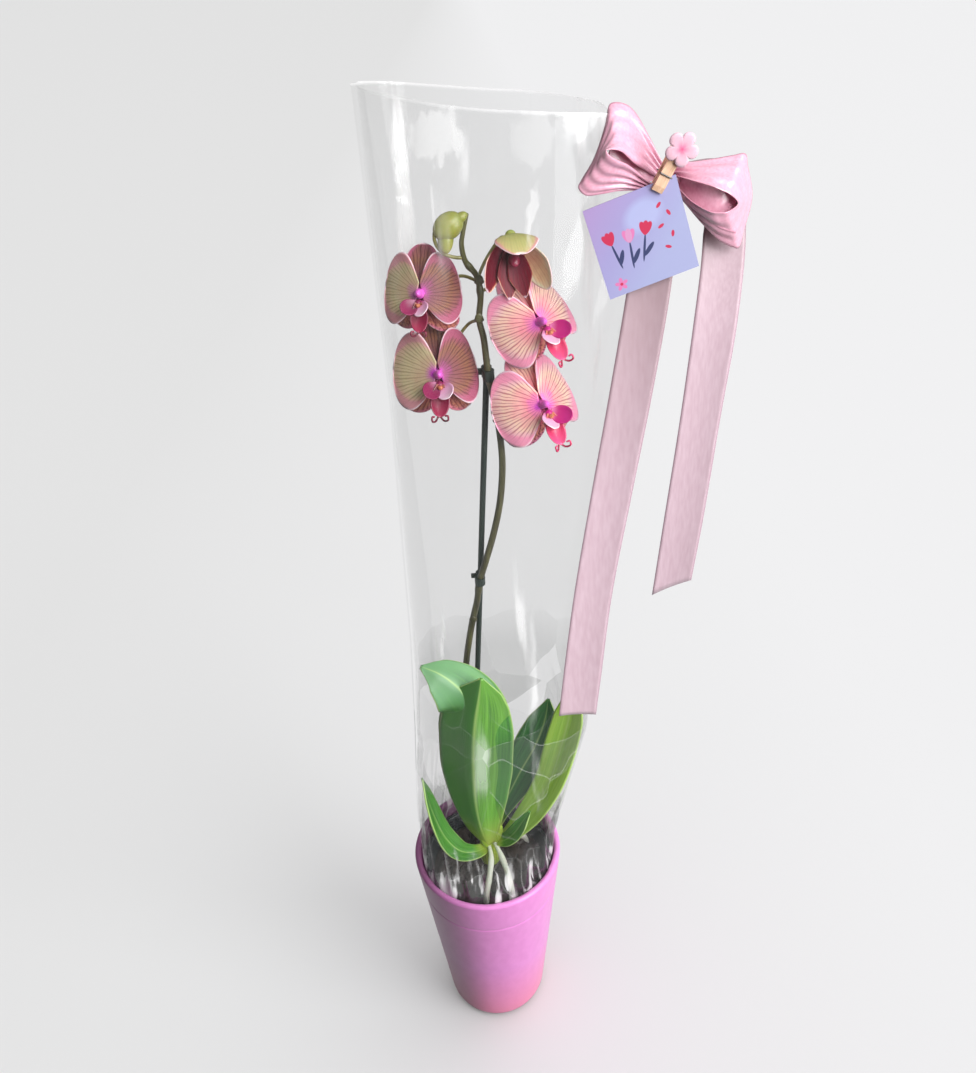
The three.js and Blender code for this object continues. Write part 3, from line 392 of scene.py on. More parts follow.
def chip(middle, size, turn):
    """A patch round one broken chip: a small lump with corners drawn at random."""
    rows, columns = 6, 8
    up = np.linspace(-1, 1, rows)[:, None]
    around = circle(columns)[None, :]
    girth = np.sqrt(np.clip(1 - up ** 4, 0, 1))
    rough = 1 + 0.22 * draw.rand(rows, columns) * (girth > 0)
    square = 1 / np.maximum(np.abs(np.cos(around)), np.abs(np.sin(around))) ** 0.6
    shape = np.stack([girth * square * np.cos(around) * rough, girth * square * np.sin(around) * rough,
                      np.repeat(up, columns, 1)], -1) * size
    return {"grid": shape @ np.array(turn.to_3x3().transposed()) + middle, "closed": True}


chips = [bed]
CHIP_COUNT = 190
for _ in range(CHIP_COUNT):
    angle, spread = draw.rand() * 2 * math.pi, math.sqrt(draw.rand()) * BARK_REACH
    height = BARK_TOP - BARK_RELIEF * (0.2 + 0.7 * draw.rand())
    size = mm(draw.uniform(3.6, 7.5), draw.uniform(2.6, 5), draw.uniform(1.2, 2.8))
    turn = Matrix.Rotation(draw.rand() * math.pi, 4, "Z") @ Matrix.Rotation(draw.uniform(-0.6, 0.6), 4, "X")
    middle = np.array([spread * math.cos(angle), spread * math.sin(angle), height])
    if math.hypot(middle[0] - CROWN_PLACE.x, middle[1] - CROWN_PLACE.y) > CROWN_CLEARANCE:
        chips.append(chip(middle, size, turn))

# Pine bark, broken and damp: layered red-brown with a dry grey edge, and no gloss.
bark, tree, shader = surface("broken_pine_bark", {"Roughness": 0.92, "Specular IOR Level": 0.25})
layers = add(tree, "TexNoise", {"Scale": 220.0, "Detail": 6.0, "Roughness": 0.65})
brown = add(tree, "ValToRGB", [layers], [(0.25, "1E1A1A"), (0.5, "403632"), (0.75, "6C6056")])
grain = add(tree, "TexNoise", {"Scale": 900.0, "Detail": 4.0})
bump = add(tree, "Bump", {"Strength": 0.7, "Distance": 0.0008, "Height": grain})
feed(shader, {"Base Color": brown, "Normal": bump})
place("bark_chips", chips, [bark], "bark_chips", ["bark"])

# ---------------------------------------------------------------- crown and roots
# The short stem in its old leaf bases, and the thick roots that run out over the bark and down
# into it. A root is a thin core in a silvery corky coat.


def along(rows, shares):
    """Points of a smooth curve through rows at shares from 0 to 1, as an array."""
    rows = np.array(rows, float)
    ends = np.vstack([2 * rows[0] - rows[1], rows, 2 * rows[-1] - rows[-2]])
    place_in = np.clip(np.asarray(shares, float), 0, 1) * (len(rows) - 1)
    span = np.minimum(place_in.astype(int), len(rows) - 2)
    weight = (place_in - span)[:, None]
    a, b, c, d = (ends[span + k] for k in range(4))
    steps = [np.maximum(np.linalg.norm(q - p, axis=1) ** 0.5, 1e-6)[:, None]
             for p, q in ((a, b), (b, c), (c, d))]
    leave = ((b - a) / steps[0] - (c - a) / (steps[0] + steps[1]) + (c - b) / steps[1]) * steps[1]
    arrive = ((c - b) / steps[1] - (d - b) / (steps[1] + steps[2]) + (d - c) / steps[2]) * steps[1]
    return (b + leave * weight + (3 * (c - b) - 2 * leave - arrive) * weight ** 2
            + (2 * (b - c) + leave + arrive) * weight ** 3)


def unit(rows):
    """Rows of vectors brought to a length of one."""
    return rows / np.linalg.norm(rows, axis=-1, keepdims=True)


def rod(rows, radius, steps=48, sides=16):
    """A patch for a round rod along a smooth curve. radius is a number, or one for each share."""
    shares = np.linspace(0, 1, steps)
    middle = along(rows, shares)
    tangent = unit(np.gradient(middle, axis=0))
    normal = np.cross(tangent[0], (0.3, 0.5, 0.8))
    rings = []
    thick = radius(shares) if callable(radius) else np.full(steps, float(radius))
    around = circle(sides)
    for i in range(steps):
        normal = unit(normal - tangent[i] * normal.dot(tangent[i]))
        side = np.cross(tangent[i], normal)
        rings.append(middle[i] + thick[i] * (
            np.cos(around)[:, None] * normal + np.sin(around)[:, None] * side))
    for i in (0, -1):  # a rounded cap at each end
        rim = rings[i] - middle[i]
        end = middle[i] + tangent[i] * thick[i] * (0.5 if i else -0.5)
        small = end + rim * 0.02
        half = rim * 0.75 + middle[i] * 0.4 + end * 0.6
        rings = rings + [half, small] if i else [small, half] + rings
    return {"grid": np.array(rings), "closed": True}


def ball(radii, matrix=Matrix.Identity(4), rows=14, columns=20):
    """A patch round an egg with its own half sizes, carried by a matrix."""
    up = np.linspace(-math.pi / 2, math.pi / 2, rows)[:, None]
    around = circle(columns)[None, :]
    globe = np.stack([np.cos(up) * np.cos(around), np.cos(up) * np.sin(around),
                      np.sin(up) + 0 * around], -1)
    return {"grid": carried(globe * np.array(radii), matrix), "closed": True}


def carried(grid, matrix):
    """Points carried by a 4 by 4 matrix."""
    whole = np.array(matrix)
    return grid @ whole[:3, :3].T + whole[:3, 3]


def set_in(patches, matrix):
    """Patches carried by a matrix."""
    return [dict(patch, grid=carried(patch["grid"], matrix)) for patch in patches]


ROOT = mm(2.7)
ROOTS = [
    [[6, -1, 206], [11, -12, 202], [16, -26, 197], [19, -38, 190], [19, -42, 172]],
    [[1, 0, 202], [3, -14, 201], [1, -28, 195], [-2, -39, 188], [-4, -43, 170]],
    [[8, 6, 192], [24, 14, 190], [33, 20, 183], [36, 23, 168]],
    [[0, 9, 192], [-5, 24, 189], [-8, 35, 182], [-9, 39, 166]],
]


def ease(value, low, high):
    """A smooth step from 0 at low to 1 at high."""
    t = np.clip((value - low) / (high - low), 0, 1)
    return t * t * (3 - 2 * t)


def root_girth(shares):
    """A root's radius along it: thin where it leaves the stem, and a little knobbly."""
    taper = 0.55 + 0.45 * ease(shares, 0, 0.35)
    return ROOT * taper * (0.95 + 0.05 * np.sin(shares * 23) + 0.03 * np.sin(shares * 120))


def moved(place, turn=0.0, axis="Y"):
    """The matrix for a place in millimetres and a turn in degrees about an axis."""
    return Matrix.Translation(mm(*place)) @ Matrix.Rotation(math.radians(turn), 4, axis)


stem = turned([(0.0, mm(160)), (mm(6.3), mm(160)), (mm(9), mm(180)), (mm(9), mm(194)), (mm(7.6), mm(203)),
               (mm(4.9), mm(211)), (0.0, mm(216))], 32)
stem["grid"] = stem["grid"] + np.array([*CROWN_PLACE, 0.0])
sheaths = [ball(mm(4.6, 4, 15), moved((-1.5, -2, 212), -9)), ball(mm(4.6, 4, 14), moved((9.5, 0, 212), 12))]
roots = [rod(mm(row), root_girth) for row in map(np.array, ROOTS)]

# Velamen, the dry corky skin of an orchid root: silvery white, matt, green where it is damp.
velamen, tree, shader = surface("silvery_velamen", {"Roughness": 0.6, "Subsurface Weight": 0.08})
blotch = add(tree, "TexNoise", {"Scale": 130.0, "Detail": 4.0})
silver = add(tree, "ValToRGB", [blotch], [(0.3, "A9AE94"), (0.52, "D8D8C8"), (0.7, "F0EEE4")])
skin = add(tree, "TexNoise", {"Scale": 1500.0, "Detail": 2.0})
bump = add(tree, "Bump", {"Strength": 0.25, "Distance": 0.0003, "Height": skin})
feed(shader, {"Base Color": silver, "Normal": bump})


def sheet_shares(tree):
    """The shares along and across a patch, each from 0 to 1."""
    shares = add(tree, "SeparateXYZ", [add(tree, "UVMap", uv_map="sheet")]).outputs
    return shares["X"], shares["Y"]


# The leaf bases: fresh yellow-green skin with fine ribs that run up it, softly glossy.
sheath_skin, tree, shader = surface("yellow_green_leaf_base", {"Roughness": 0.38, "Subsurface Weight": 0.1})
RIBS = 22
crosswise = sheet_shares(tree)[1]
rib = add(tree, "Math", [crosswise, 2 * math.pi * RIBS], operation="MULTIPLY")
rib = add(tree, "Math", [rib], operation="SINE")
patch = add(tree, "TexNoise", {"Scale": 70.0, "Detail": 2.0})
tone = add(tree, "Math", [rib, 0.12, patch], operation="MULTIPLY_ADD")
green = add(tree, "ValToRGB", [tone], [(0.25, "7E9E2E"), (0.55, "A9C344"), (0.8, "D6DE7A")])
feed(shader, {"Base Color": green})
place("crown_and_roots_skin", [*[dict(patch, material=1) for patch in (stem, *sheaths)], *roots],
      [velamen, sheath_skin], "root_skin", ["crown_and_roots"])

# ---------------------------------------------------------------- leaves
# Fleshy strap leaves that clasp the stem and arch outwards, keeled below and grooved above. The
# front one has two blades, of which the nearer is keeled like a boat.


def leaf(mid, face, half, fold, wave=mm(0.5)):
    """A patch for one leaf: its midrib, the way its upper face looks, its half-widths and its fold."""
    rows, columns = 64, 21
    shares = np.linspace(0, 1, rows)
    midrib = along(mm(mid), shares)
    looks = along(face, shares)
    reach = np.maximum(along(mm([[w, 0, 0] for w in half]), shares)[:, 0], mm(0.3))
    tangent = unit(np.gradient(midrib, axis=0))
    side = unit(np.cross(tangent, looks))
    up = np.cross(side, tangent)
    across = np.linspace(-1, 1, columns)[None, :, None]
    rise = (np.abs(across) * math.sin(fold) - 0.18 * fold * across ** 2
            + 0.06 * np.exp(-(across / 0.12) ** 2))
    ripple = wave * across ** 2 * np.sin(shares[:, None, None] * 15 + 2 * np.sign(across))
    grid = (midrib[:, None] + side[:, None] * across * (reach * math.cos(fold))[:, None, None]
            + up[:, None] * (rise * reach[:, None, None] + ripple))
    return {"grid": grid}


FRONT_BLADE = dict(
    mid=[[1, -5, 205], [-3, -11, 228], [-6, -19, 270], [-5.5, -27, 318], [-3.4, -31.5, 355],
         [0, -34, 386], [3.6, -35, 408], [6.5, -34.5, 427]],
    face=[[0.1, 1, 0], [0.1, 1, 0.1], [0.1, 1, 0.1], [0.1, 1, 0], [0.1, 1, 0], [0.1, 1, -0.1],
          [0.1, 1, -0.2], [0.1, 1, -0.2]],
    half=[7, 17, 27.5, 34, 34, 30, 19.5, 1.2], fold=0.6)
LEAVES = {
    "leaf_front": dict(
        mid=[[1, -1, 203], [-3, -6, 228], [-5.5, -14, 270], [-5, -21, 318], [-3, -26, 355],
             [-1.5, -28, 382], [-4, -28, 399], [-11, -26, 412], [-24, -22, 423], [-38, -17, 427]],
        face=[[0.2, 1, 0], [0.2, 1, 0.1], [0.2, 1, 0.1], [0.2, 1, 0], [0.2, 1, 0], [0.1, 1, -0.1],
              [-0.2, 0.9, -0.4], [-0.35, 0.8, -0.7], [-0.3, 0.6, -0.9], [-0.2, 0.6, -1]],
        half=[7, 17, 27, 32.5, 32.5, 29, 25.5, 22, 15, 1.2], fold=0.4),
    "leaf_back_right": dict(
        mid=[[8, 12, 204], [15, 18, 222], [32, 26, 258], [48, 30, 290], [56.5, 31, 317], [60, 31, 341]],
        face=[[-0.8, -0.6, 0.6], [-0.6, -0.8, 0.5], [-0.4, -0.9, 0.4], [-0.3, -0.9, 0.3], [-0.3, -0.9, 0.2],
              [-0.3, -0.9, 0.2]],
        half=[4, 8, 16.5, 19, 15, 1.2], fold=0.3),
    "leaf_right": dict(
        mid=[[10, 2, 200], [24, 0, 215], [43, 0, 243], [58, 1, 276], [67.5, 3, 311], [75, 5, 345],
             [82, 6, 384]],
        face=[[-0.5, -0.2, 1], [-0.6, -0.4, 0.8], [-0.7, -0.6, 0.5], [-0.7, -0.7, 0.3], [-0.6, -0.8, 0.2],
              [-0.5, -0.8, 0.1], [-0.5, -0.8, 0.1]],
        half=[5, 9, 13, 14.5, 15, 13.5, 1.2], fold=0.3),
    "leaf_left": dict(
        mid=[[-1, -3, 199], [-9, -9, 202], [-22, -16, 212], [-34, -18, 231], [-43, -15, 258],
             [-47.5, -12, 282], [-49, -10, 300]],
        face=[[0, -0.2, 1], [0.1, -0.3, 1], [0.4, -0.4, 0.8], [0.8, -0.4, 0.5], [0.9, -0.3, 0.2],
              [0.95, -0.1, 0.1], [0.95, 0.1, 0.1]],
        half=[5, 6.5, 8.5, 10.5, 10.5, 8, 1.2], fold=0.3),
    "leaf_small": dict(
        mid=[[11, -3, 207], [17, -7, 213], [24, -12, 226], [32, -14, 243], [38.5, -15, 258]],
        face=[[-0.4, -0.4, 1], [-0.4, -0.5, 0.9], [-0.4, -0.6, 0.8], [-0.4, -0.7, 0.7], [-0.4, -0.7, 0.7]],
        half=[4.5, 6.5, 7.5, 6, 1.2], fold=0.4),
}


def streaky(tree, vector, scale, detail, turn=(0.0, 0.0, 0.0)):
    """Noise whose grains are stretched: scale holds how many there are to the metre, or to the sheet."""
    stretched = add(tree, "Mapping", {"Vector": vector, "Rotation": turn, "Scale": scale})
    return add(tree, "TexNoise", {"Vector": stretched, "Scale": 1.0, "Detail": detail})


LEAF_VEINS = 34  # across the blade


def leaf_skin(name, deep, mid, light, painted_shade_half=0.0, painted_sheen_tip=0.0):
    """Living leaf skin: waxy, a paler midrib and rim, and fine parallel veins under the gloss. The half
    that is turned away from the window is darkened by a share as painted shade, and the tip may have a
    painted pale sheen."""
    material, tree, shader = surface(name, {
        "Roughness": 0.42, "IOR": 1.42, "Coat Weight": 0.05, "Coat Roughness": 0.28,
        "Subsurface Weight": 0.06, "Subsurface Scale": 0.002})
    share = add(tree, "UVMap", uv_map="sheet")
    shares = add(tree, "SeparateXYZ", [share]).outputs
    lengthwise, crosswise = shares["X"], shares["Y"]
    patch = streaky(tree, share, (2.2, 26.0, 1.0), 2.0)
    veins = add(tree, "Math", [crosswise, 2 * math.pi * LEAF_VEINS], operation="MULTIPLY")
    veins = add(tree, "Math", [veins], operation="SINE")
    tone = add(tree, "Math", [veins, 0.03, patch], operation="MULTIPLY_ADD")
    green = add(tree, "ValToRGB", [tone], [(0.25, deep), (0.52, mid), (0.8, light)])
    # Painted shade: one half of the blade is mixed towards a deep green.
    away = add(tree, "MapRange", [crosswise, 0.49, 0.53, 0.0, painted_shade_half])
    green = add(tree, "Mix", [away, green, shade("1A6A0C")], data_type="RGBA")
    # Painted sheen: the tip is mixed towards a pale blue-green.
    tip = add(tree, "MapRange", [lengthwise, 0.62, 0.8, 0.0, painted_sheen_tip])
    green = add(tree, "Mix", [tip, green, shade("8EB696")], data_type="RGBA")
    off = add(tree, "Math", [crosswise, 0.5], operation="SUBTRACT")
    off = add(tree, "Math", [off], operation="ABSOLUTE")
    midrib = add(tree, "MapRange", [off, 0.0, 0.035, 0.5, 0.0])
    rim = add(tree, "MapRange", [off, 0.475, 0.5, 0.0, 0.7])
    paler = add(tree, "Math", [midrib, rim], operation="MAXIMUM")
    edged = add(tree, "Mix", [paler, green, shade("BFDB86")], data_type="RGBA")
    foot = add(tree, "MapRange", [lengthwise, 0.02, 0.22, 0.85, 0.0])
    rooted = add(tree, "Mix", [foot, edged, shade("A8B845")], data_type="RGBA")
    pores = add(tree, "TexNoise", {"Scale": 1100.0, "Detail": 2.0})
    relief = add(tree, "Math", [veins, 0.5, pores], operation="MULTIPLY_ADD")
    bump = add(tree, "Bump", {"Strength": 0.07, "Distance": 0.0003, "Height": relief})
    feed(shader, {"Base Color": rooted, "Normal": bump})
    return material


LEAF_THICKNESS = mm(1.5)
young_leaf = leaf_skin("waxy_mid_green_leaf", "265C1C", "42802A", "66A23E")
# The skin for the keeled blade has one half darkened as painted shade, and the skin for the front leaf has
# a little of that and a painted pale sheen on its tip.
keeled_leaf = leaf_skin("waxy_leaf_painted_shade_half", "427A26", "64A038", "7EBA4C", 0.74)
painted_sheen_leaf = leaf_skin("waxy_leaf_painted_shade_and_sheen", "306C28", "4A8C36", "6AAA48", 0.3, 0.42)
# The skin for the leaf at the back right is a copy darkened all over as painted shade.
shaded_leaf = leaf_skin("waxy_back_leaf_painted_shade", "1A4A20", "2A6A2E", "48883C")
fresh_leaf = leaf_skin("waxy_fresh_green_leaf", "86C030", "A6D444", "C0E460")
LEAF_SKINS = {"leaf_front": painted_sheen_leaf, "leaf_back_right": shaded_leaf, "leaf_right": fresh_leaf,
              "leaf_left": young_leaf, "leaf_small": young_leaf}
for name, form in LEAVES.items():
    slot = "leaf_light_green" if name == "leaf_right" else "leaf_green"
    place(name + "_blade", [leaf(**form)], [LEAF_SKINS[name]], slot, [name], thick=LEAF_THICKNESS)
place("leaf_front_keel", [leaf(**FRONT_BLADE)], [keeled_leaf], "leaf_green", ["leaf_front"],
      thick=LEAF_THICKNESS)

# ---------------------------------------------------------------- flower spike
# One woody stem with a joint and a scale-like bract below each flower stalk, and a curled stalk
# for the bud at its end.


def bloom_frame(centre, yaw, pitch, roll):
    """The frame of a flower: x to its side, y up, z out of its face."""
    return (moved(centre, yaw, "Z") @ Matrix.Rotation(math.radians(90 - pitch), 4, "X")
            @ Matrix.Rotation(math.radians(roll), 4, "Z"))


BLOOMS = {
    "bloom_1": dict(centre=(-12.8, -8, 702.6), yaw=-5, pitch=14, roll=-4),
    "bloom_2": dict(centre=(-6.2, -9, 652.5), yaw=8, pitch=16, roll=-2),
    "bloom_4": dict(centre=(56.5, -10, 682), yaw=20, pitch=16, roll=22),
    "bloom_5": dict(centre=(56.7, -13, 630.3), yaw=19, pitch=18, roll=12),
}
BLOOM_SIZE = {"bloom_1": 0.86, "bloom_2": 0.99, "bloom_4": 0.97, "bloom_5": 1.02}
frames = {name: bloom_frame(**form) for name, form in BLOOMS.items()}
frames["bloom_3"] = bloom_frame((41.7, -0.6, 730.4), 8, -42, 0)

SPIKE = [
    [4, 8, 205], [-1, 8, 245], [-5, 8, 285], [-7.5, 9, 325], [-7, 10.5, 370],
    [-5.5, 11.5, 400], [-1.8, 11.5, 424], [2, 10.2, 444], [7, 7.6, 466], [10.2, 6.4, 485],
    [15.5, 5.5, 503], [22.5, 5.5, 527], [27.8, 6, 551], [30.4, 6, 575], [30.6, 6, 590], [28.5, 6, 618],
    [24.6, 5.4, 645], [23, 4, 669], [21, 3, 681], [22.6, 3, 696], [20.9, 2, 708], [15, 1, 717],
    [13.4, 0, 727], [14.7, -1, 734], [17.5, -1, 744],
]
SPIKE_JOINTS = [[3, 10, 447], [28.8, 6, 612], [20.9, 3, 681], [22.3, 3, 704]]
PEDICELS = {
    "bloom_1": [[22.3, 3, 704], [12, 10, 706], [0, 9, 703]],
    "bloom_2": [[20.9, 3, 681], [14, 13, 675], [4, 15, 662]],
    "bloom_3": [[21.5, 3, 706], [27, 12, 714], [36, 15, 725]],
    "bloom_4": [[22.4, 3, 698], [34, 12, 698], [45, 8, 689]],
    "bloom_5": [[28.8, 6, 614], [36, 14, 617], [46, 8, 624]],
}
BUD_STALK = [[14.5, 1, 719], [8, -1, 720.5], [2, -3, 724], [-1.6, -4, 731], [-1, -4, 738]]
HUB = mm(3.2)


def spike_girth(shares):
    """The spike's radius along it: tapering, and swollen at its joints."""
    swelling = sum(np.exp(-((shares - s) / 0.008) ** 2) for s in (0.36, 0.66, 0.8, 0.86))
    return mm(2.5) + (mm(1.2) - mm(2.5)) * shares ** 3 + mm(0.5) * swelling


def pedicel(name):
    """The stalk of a flower, from the spike round to behind the flower's middle."""
    route = mm(PEDICELS[name])
    middle = np.array(frames[name].translation)
    if name == "bloom_3":
        back = route[-1] - middle
    else:
        back = -np.array(frames[name].to_3x3().col[2])
    back /= np.linalg.norm(back)
    ends = [middle + back * (HUB + mm(6)), middle + back * (HUB - mm(1))]
    return rod(np.vstack([route, ends]), lambda s: mm(1.0) + mm(0.5) * s ** 4, 32, 12)


spike_patches = [rod(mm(SPIKE), spike_girth, 240, 20)]
for stalk in (*map(pedicel, PEDICELS), rod(mm(BUD_STALK), mm(1.05), 32, 12)):
    spike_patches.append(dict(stalk, material=1))
for joint in SPIKE_JOINTS:
    bract = Matrix.Translation(mm(*joint) + mm(0, -2.4, 1.6)) @ Matrix.Rotation(math.radians(12), 4, "X")
    spike_patches += [ball(mm(3.1, 3.1, 1.6), moved(joint)), ball(mm(2.6, 1.0, 3.6), bract)]


def stem_skin(name, dark, light):
    """A firm green stem: smooth skin, streaked along its length, dull with a soft highlight."""
    material, tree, shader = surface(name, {"Roughness": 0.42, "Coat Weight": 0.15, "Coat Roughness": 0.3})
    where = add(tree, "TexCoord").outputs["Object"]
    streak = streaky(tree, where, (260.0, 260.0, 24.0), 3.0)
    green = add(tree, "ValToRGB", [streak], [(0.3, dark), (0.72, light)])
    height = add(tree, "SeparateXYZ", [where])
    high = add(tree, "MapRange", [height.outputs["Z"], 0.6, 0.74, 0.0, 0.5])
    young = add(tree, "Mix", [high, green, shade("5C5A2C")], data_type="RGBA")
    bump = add(tree, "Bump", {"Strength": 0.2, "Distance": 0.0003, "Height": streak})
    feed(shader, {"Base Color": young, "Normal": bump})
    return material


woody = stem_skin("brown_green_spike_skin", "2E2A1C", "5C5A38")
stalky = stem_skin("pale_flower_stalk_skin", "6E6A3A", "B0A860")
place("flower_spike_skin", spike_patches, [woody, stalky], "stem_brown_green", ["flower_spike"])

# ---------------------------------------------------------------- bud
# The last bud, still closed: swollen sepals that meet in a seam, like a mitten. It sits on the end
# of the curled stalk.

bud_lobes = [
    ball(mm(*half), Matrix.Translation(mm(*middle)) @ Matrix.Rotation(turn, 4, "Y"), rows, columns)
    for half, middle, turn, rows, columns in (
        ((7.4, 6.6, 9.4), (6.6, -4, 738.6), 1.0, 24, 36), ((4.6, 4.8, 8.4), (4.6, -4, 731.6), 0.1, 20, 28),
        ((3.0, 3.0, 5.2), (13.2, -4, 742.4), 1.0, 16, 24))]
for lobe in bud_lobes:
    around = circle(lobe["grid"].shape[1])
    middle = lobe["grid"].mean((0, 1))
    seam = 1 - 0.05 * np.exp(-(np.sin(around / 2 - 0.9) / 0.1) ** 2)
    lobe["grid"] = middle + (lobe["grid"] - middle) * seam[None, :, None]

# Unopened sepals: yellow-green with a shallow seam, smooth and waxy, and darkened towards their upper ends
# as painted shade.
bud_skin, tree, shader = surface("yellow_green_bud_skin", {
    "Roughness": 0.4, "Coat Weight": 0.2, "Coat Roughness": 0.3, "Subsurface Weight": 0.08})
cloud = add(tree, "TexNoise", {"Scale": 110.0, "Detail": 3.0})
# Painted shade: each lobe darkens from its lower pole to its upper pole.
high = add(tree, "Math", [0.5, sheet_shares(tree)[0]], operation="SUBTRACT")
tone = add(tree, "Math", [high, 0.35, cloud], operation="MULTIPLY_ADD")
green = add(tree, "ValToRGB", [tone], [(0.28, "626A22"), (0.52, "909238"), (0.75, "B4B048")])
feed(shader, {"Base Color": green})
place("top_bud", bud_lobes, [bud_skin], "bud_green", ["bud"])

# ---------------------------------------------------------------- open flowers
# Each has three sepals behind two broad petals round one column. The petals are thin and firm,
# salmon with branching darker veins that run out from a magenta middle to a pale rim.


def petal(angle, length, width, lean, curl, cup, claw=0.2, widest=0.55, depth=0.0, wave=0.5, point=0.0,
          rows=34, columns=25, size=1.0):
    """A patch for one petal or sepal in its flower's frame, in metres from sizes in millimetres."""
    shares = 0.05 + 0.95 * np.linspace(0, 1, rows)
    length, width = length * size, width * size
    bend = lean + curl * shares
    out = length * (np.sin(bend) - math.sin(lean)) / curl
    back = length * (np.cos(bend) - math.cos(lean)) / curl
    u = np.linspace(0, 1, rows)
    rise = np.where(u < widest, u / widest, (1 - u) / (1 - widest))
    swell = np.where(u < widest, claw + (1 - claw) * np.sin(rise * math.pi / 2),
                     (1 - point) * np.sqrt(np.clip(1 - (1 - rise) ** 2, 0, 1)) + point * rise)
    reach = width / 2 * np.maximum(swell, 0.05)
    across = np.linspace(-1, 1, columns)
    sideways = reach[:, None] * across
    lift = cup * np.abs(sideways) * np.abs(across) + depth
    ripple = wave * across ** 2 * np.sin(u[:, None] * 9 + 3 * across + angle) * u[:, None]
    cos, sin = math.cos(math.radians(angle)), math.sin(math.radians(angle))
    points = np.stack([cos * out[:, None] - sin * sideways, sin * out[:, None] + cos * sideways,
                       back[:, None] + lift + ripple], -1)
    fan = np.stack([np.hypot(out[:, None], sideways) / length,
                    0.5 + np.arctan2(sideways, out[:, None] + 0.04 * length) / math.pi], -1)
    return {"grid": points * 0.001, "fan": fan}


def petal_skin(name, flush, vein, strength, spots=0.0):
    """Petal skin: its colours from the heart of the flower out to the rim, and its forking veins."""
    material, tree, shader = surface(name, {
        "Roughness": 0.55, "IOR": 1.4, "Subsurface Weight": 0.12, "Subsurface Scale": 0.002})
    lengthwise, crosswise = sheet_shares(tree)
    fan = add(tree, "SeparateXYZ", [add(tree, "UVMap", uv_map="fan")]).outputs
    where = add(tree, "TexCoord").outputs["Object"]
    wander = add(tree, "TexNoise", {"Vector": where, "Scale": 170.0, "Detail": 2.0})
    edge = add(tree, "Math", [crosswise, 2.0, -1.0], operation="MULTIPLY_ADD")
    edge = add(tree, "Math", [edge], operation="ABSOLUTE")
    side = add(tree, "Math", [edge, 4.0], operation="POWER")
    side = add(tree, "Math", [side, fan["X"]], operation="MULTIPLY")
    side = add(tree, "Math", [side, 1.2, fan["X"]], operation="MULTIPLY_ADD")
    reach = add(tree, "MapRange", [wander, 0.3, 0.7, -0.07, 0.07])
    reach = add(tree, "Math", [side, reach])
    skin = add(tree, "ValToRGB", [reach], flush)
    shift = add(tree, "Math", [wander, 0.02, fan["Y"]], operation="MULTIPLY_ADD")
    masks = []
    # The veins fork twice: their number round the flower doubles at two reaches on the way out.
    for count, start, end in ((17, 0.1, 0.2), (34, 0.38, 0.5), (68, 0.64, 0.76)):
        lines = add(tree, "Math", [shift, 2 * math.pi * count], operation="MULTIPLY")
        lines = add(tree, "Math", [lines], operation="COSINE")
        lines = add(tree, "MapRange", [lines, 0.6, 1.0])
        begins = add(tree, "MapRange", [fan["X"], start, end])
        masks.append(add(tree, "Math", [lines, begins], operation="MULTIPLY"))
    lines = add(tree, "Math", masks[:2], operation="MAXIMUM")
    lines = add(tree, "Math", [lines, masks[2]], operation="MAXIMUM")
    fade = add(tree, "MapRange", [reach, 0.75, 1.1, strength, 0.2 * strength])
    lines = add(tree, "Math", [lines, fade], operation="MULTIPLY")
    veined = add(tree, "Mix", [lines, skin, shade(vein)], data_type="RGBA")
    rim = add(tree, "Math", [edge, lengthwise], operation="MAXIMUM")
    rim = add(tree, "MapRange", [rim, 0.945, 0.985, 0.0, 0.75])
    begins = add(tree, "MapRange", [fan["X"], 0.4, 0.55])
    rim = add(tree, "Math", [rim, begins], operation="MULTIPLY")
    rimmed = add(tree, "Mix", [rim, veined, shade("FFE3EE")], data_type="RGBA")
    dots = add(tree, "TexVoronoi", {"Vector": where, "Scale": 560.0})
    dots = add(tree, "MapRange", [dots, 0.3, 0.45, spots, 0.0])
    spotted = add(tree, "Mix", [dots, rimmed, shade("7A2038")], data_type="RGBA")
    bump = add(tree, "Bump", {"Strength": 0.2, "Distance": 0.0002, "Height": lines})
    feed(shader, {"Base Color": spotted, "Normal": bump})
    return material


PETAL_THICKNESS = mm(0.5)
SEPAL = dict(widest=0.5, claw=0.3, depth=-2.6)
LOW_SEPAL = dict(width=22, lean=0.4, cup=0.04, wave=0.3, **SEPAL)
PETAL = dict(length=34, width=48, lean=0.35, curl=0.6, cup=0.06, depth=0.6, claw=0.3, widest=0.5, wave=1.3)
OPEN = [
    dict(angle=90, length=37.5, width=24, lean=0.3, curl=0.45, cup=0.1, **SEPAL),
    dict(angle=232, length=38, curl=0.5, **LOW_SEPAL), dict(angle=312, length=42, curl=0.52, **LOW_SEPAL),
    dict(angle=13, **PETAL), dict(angle=171, **PETAL),
]

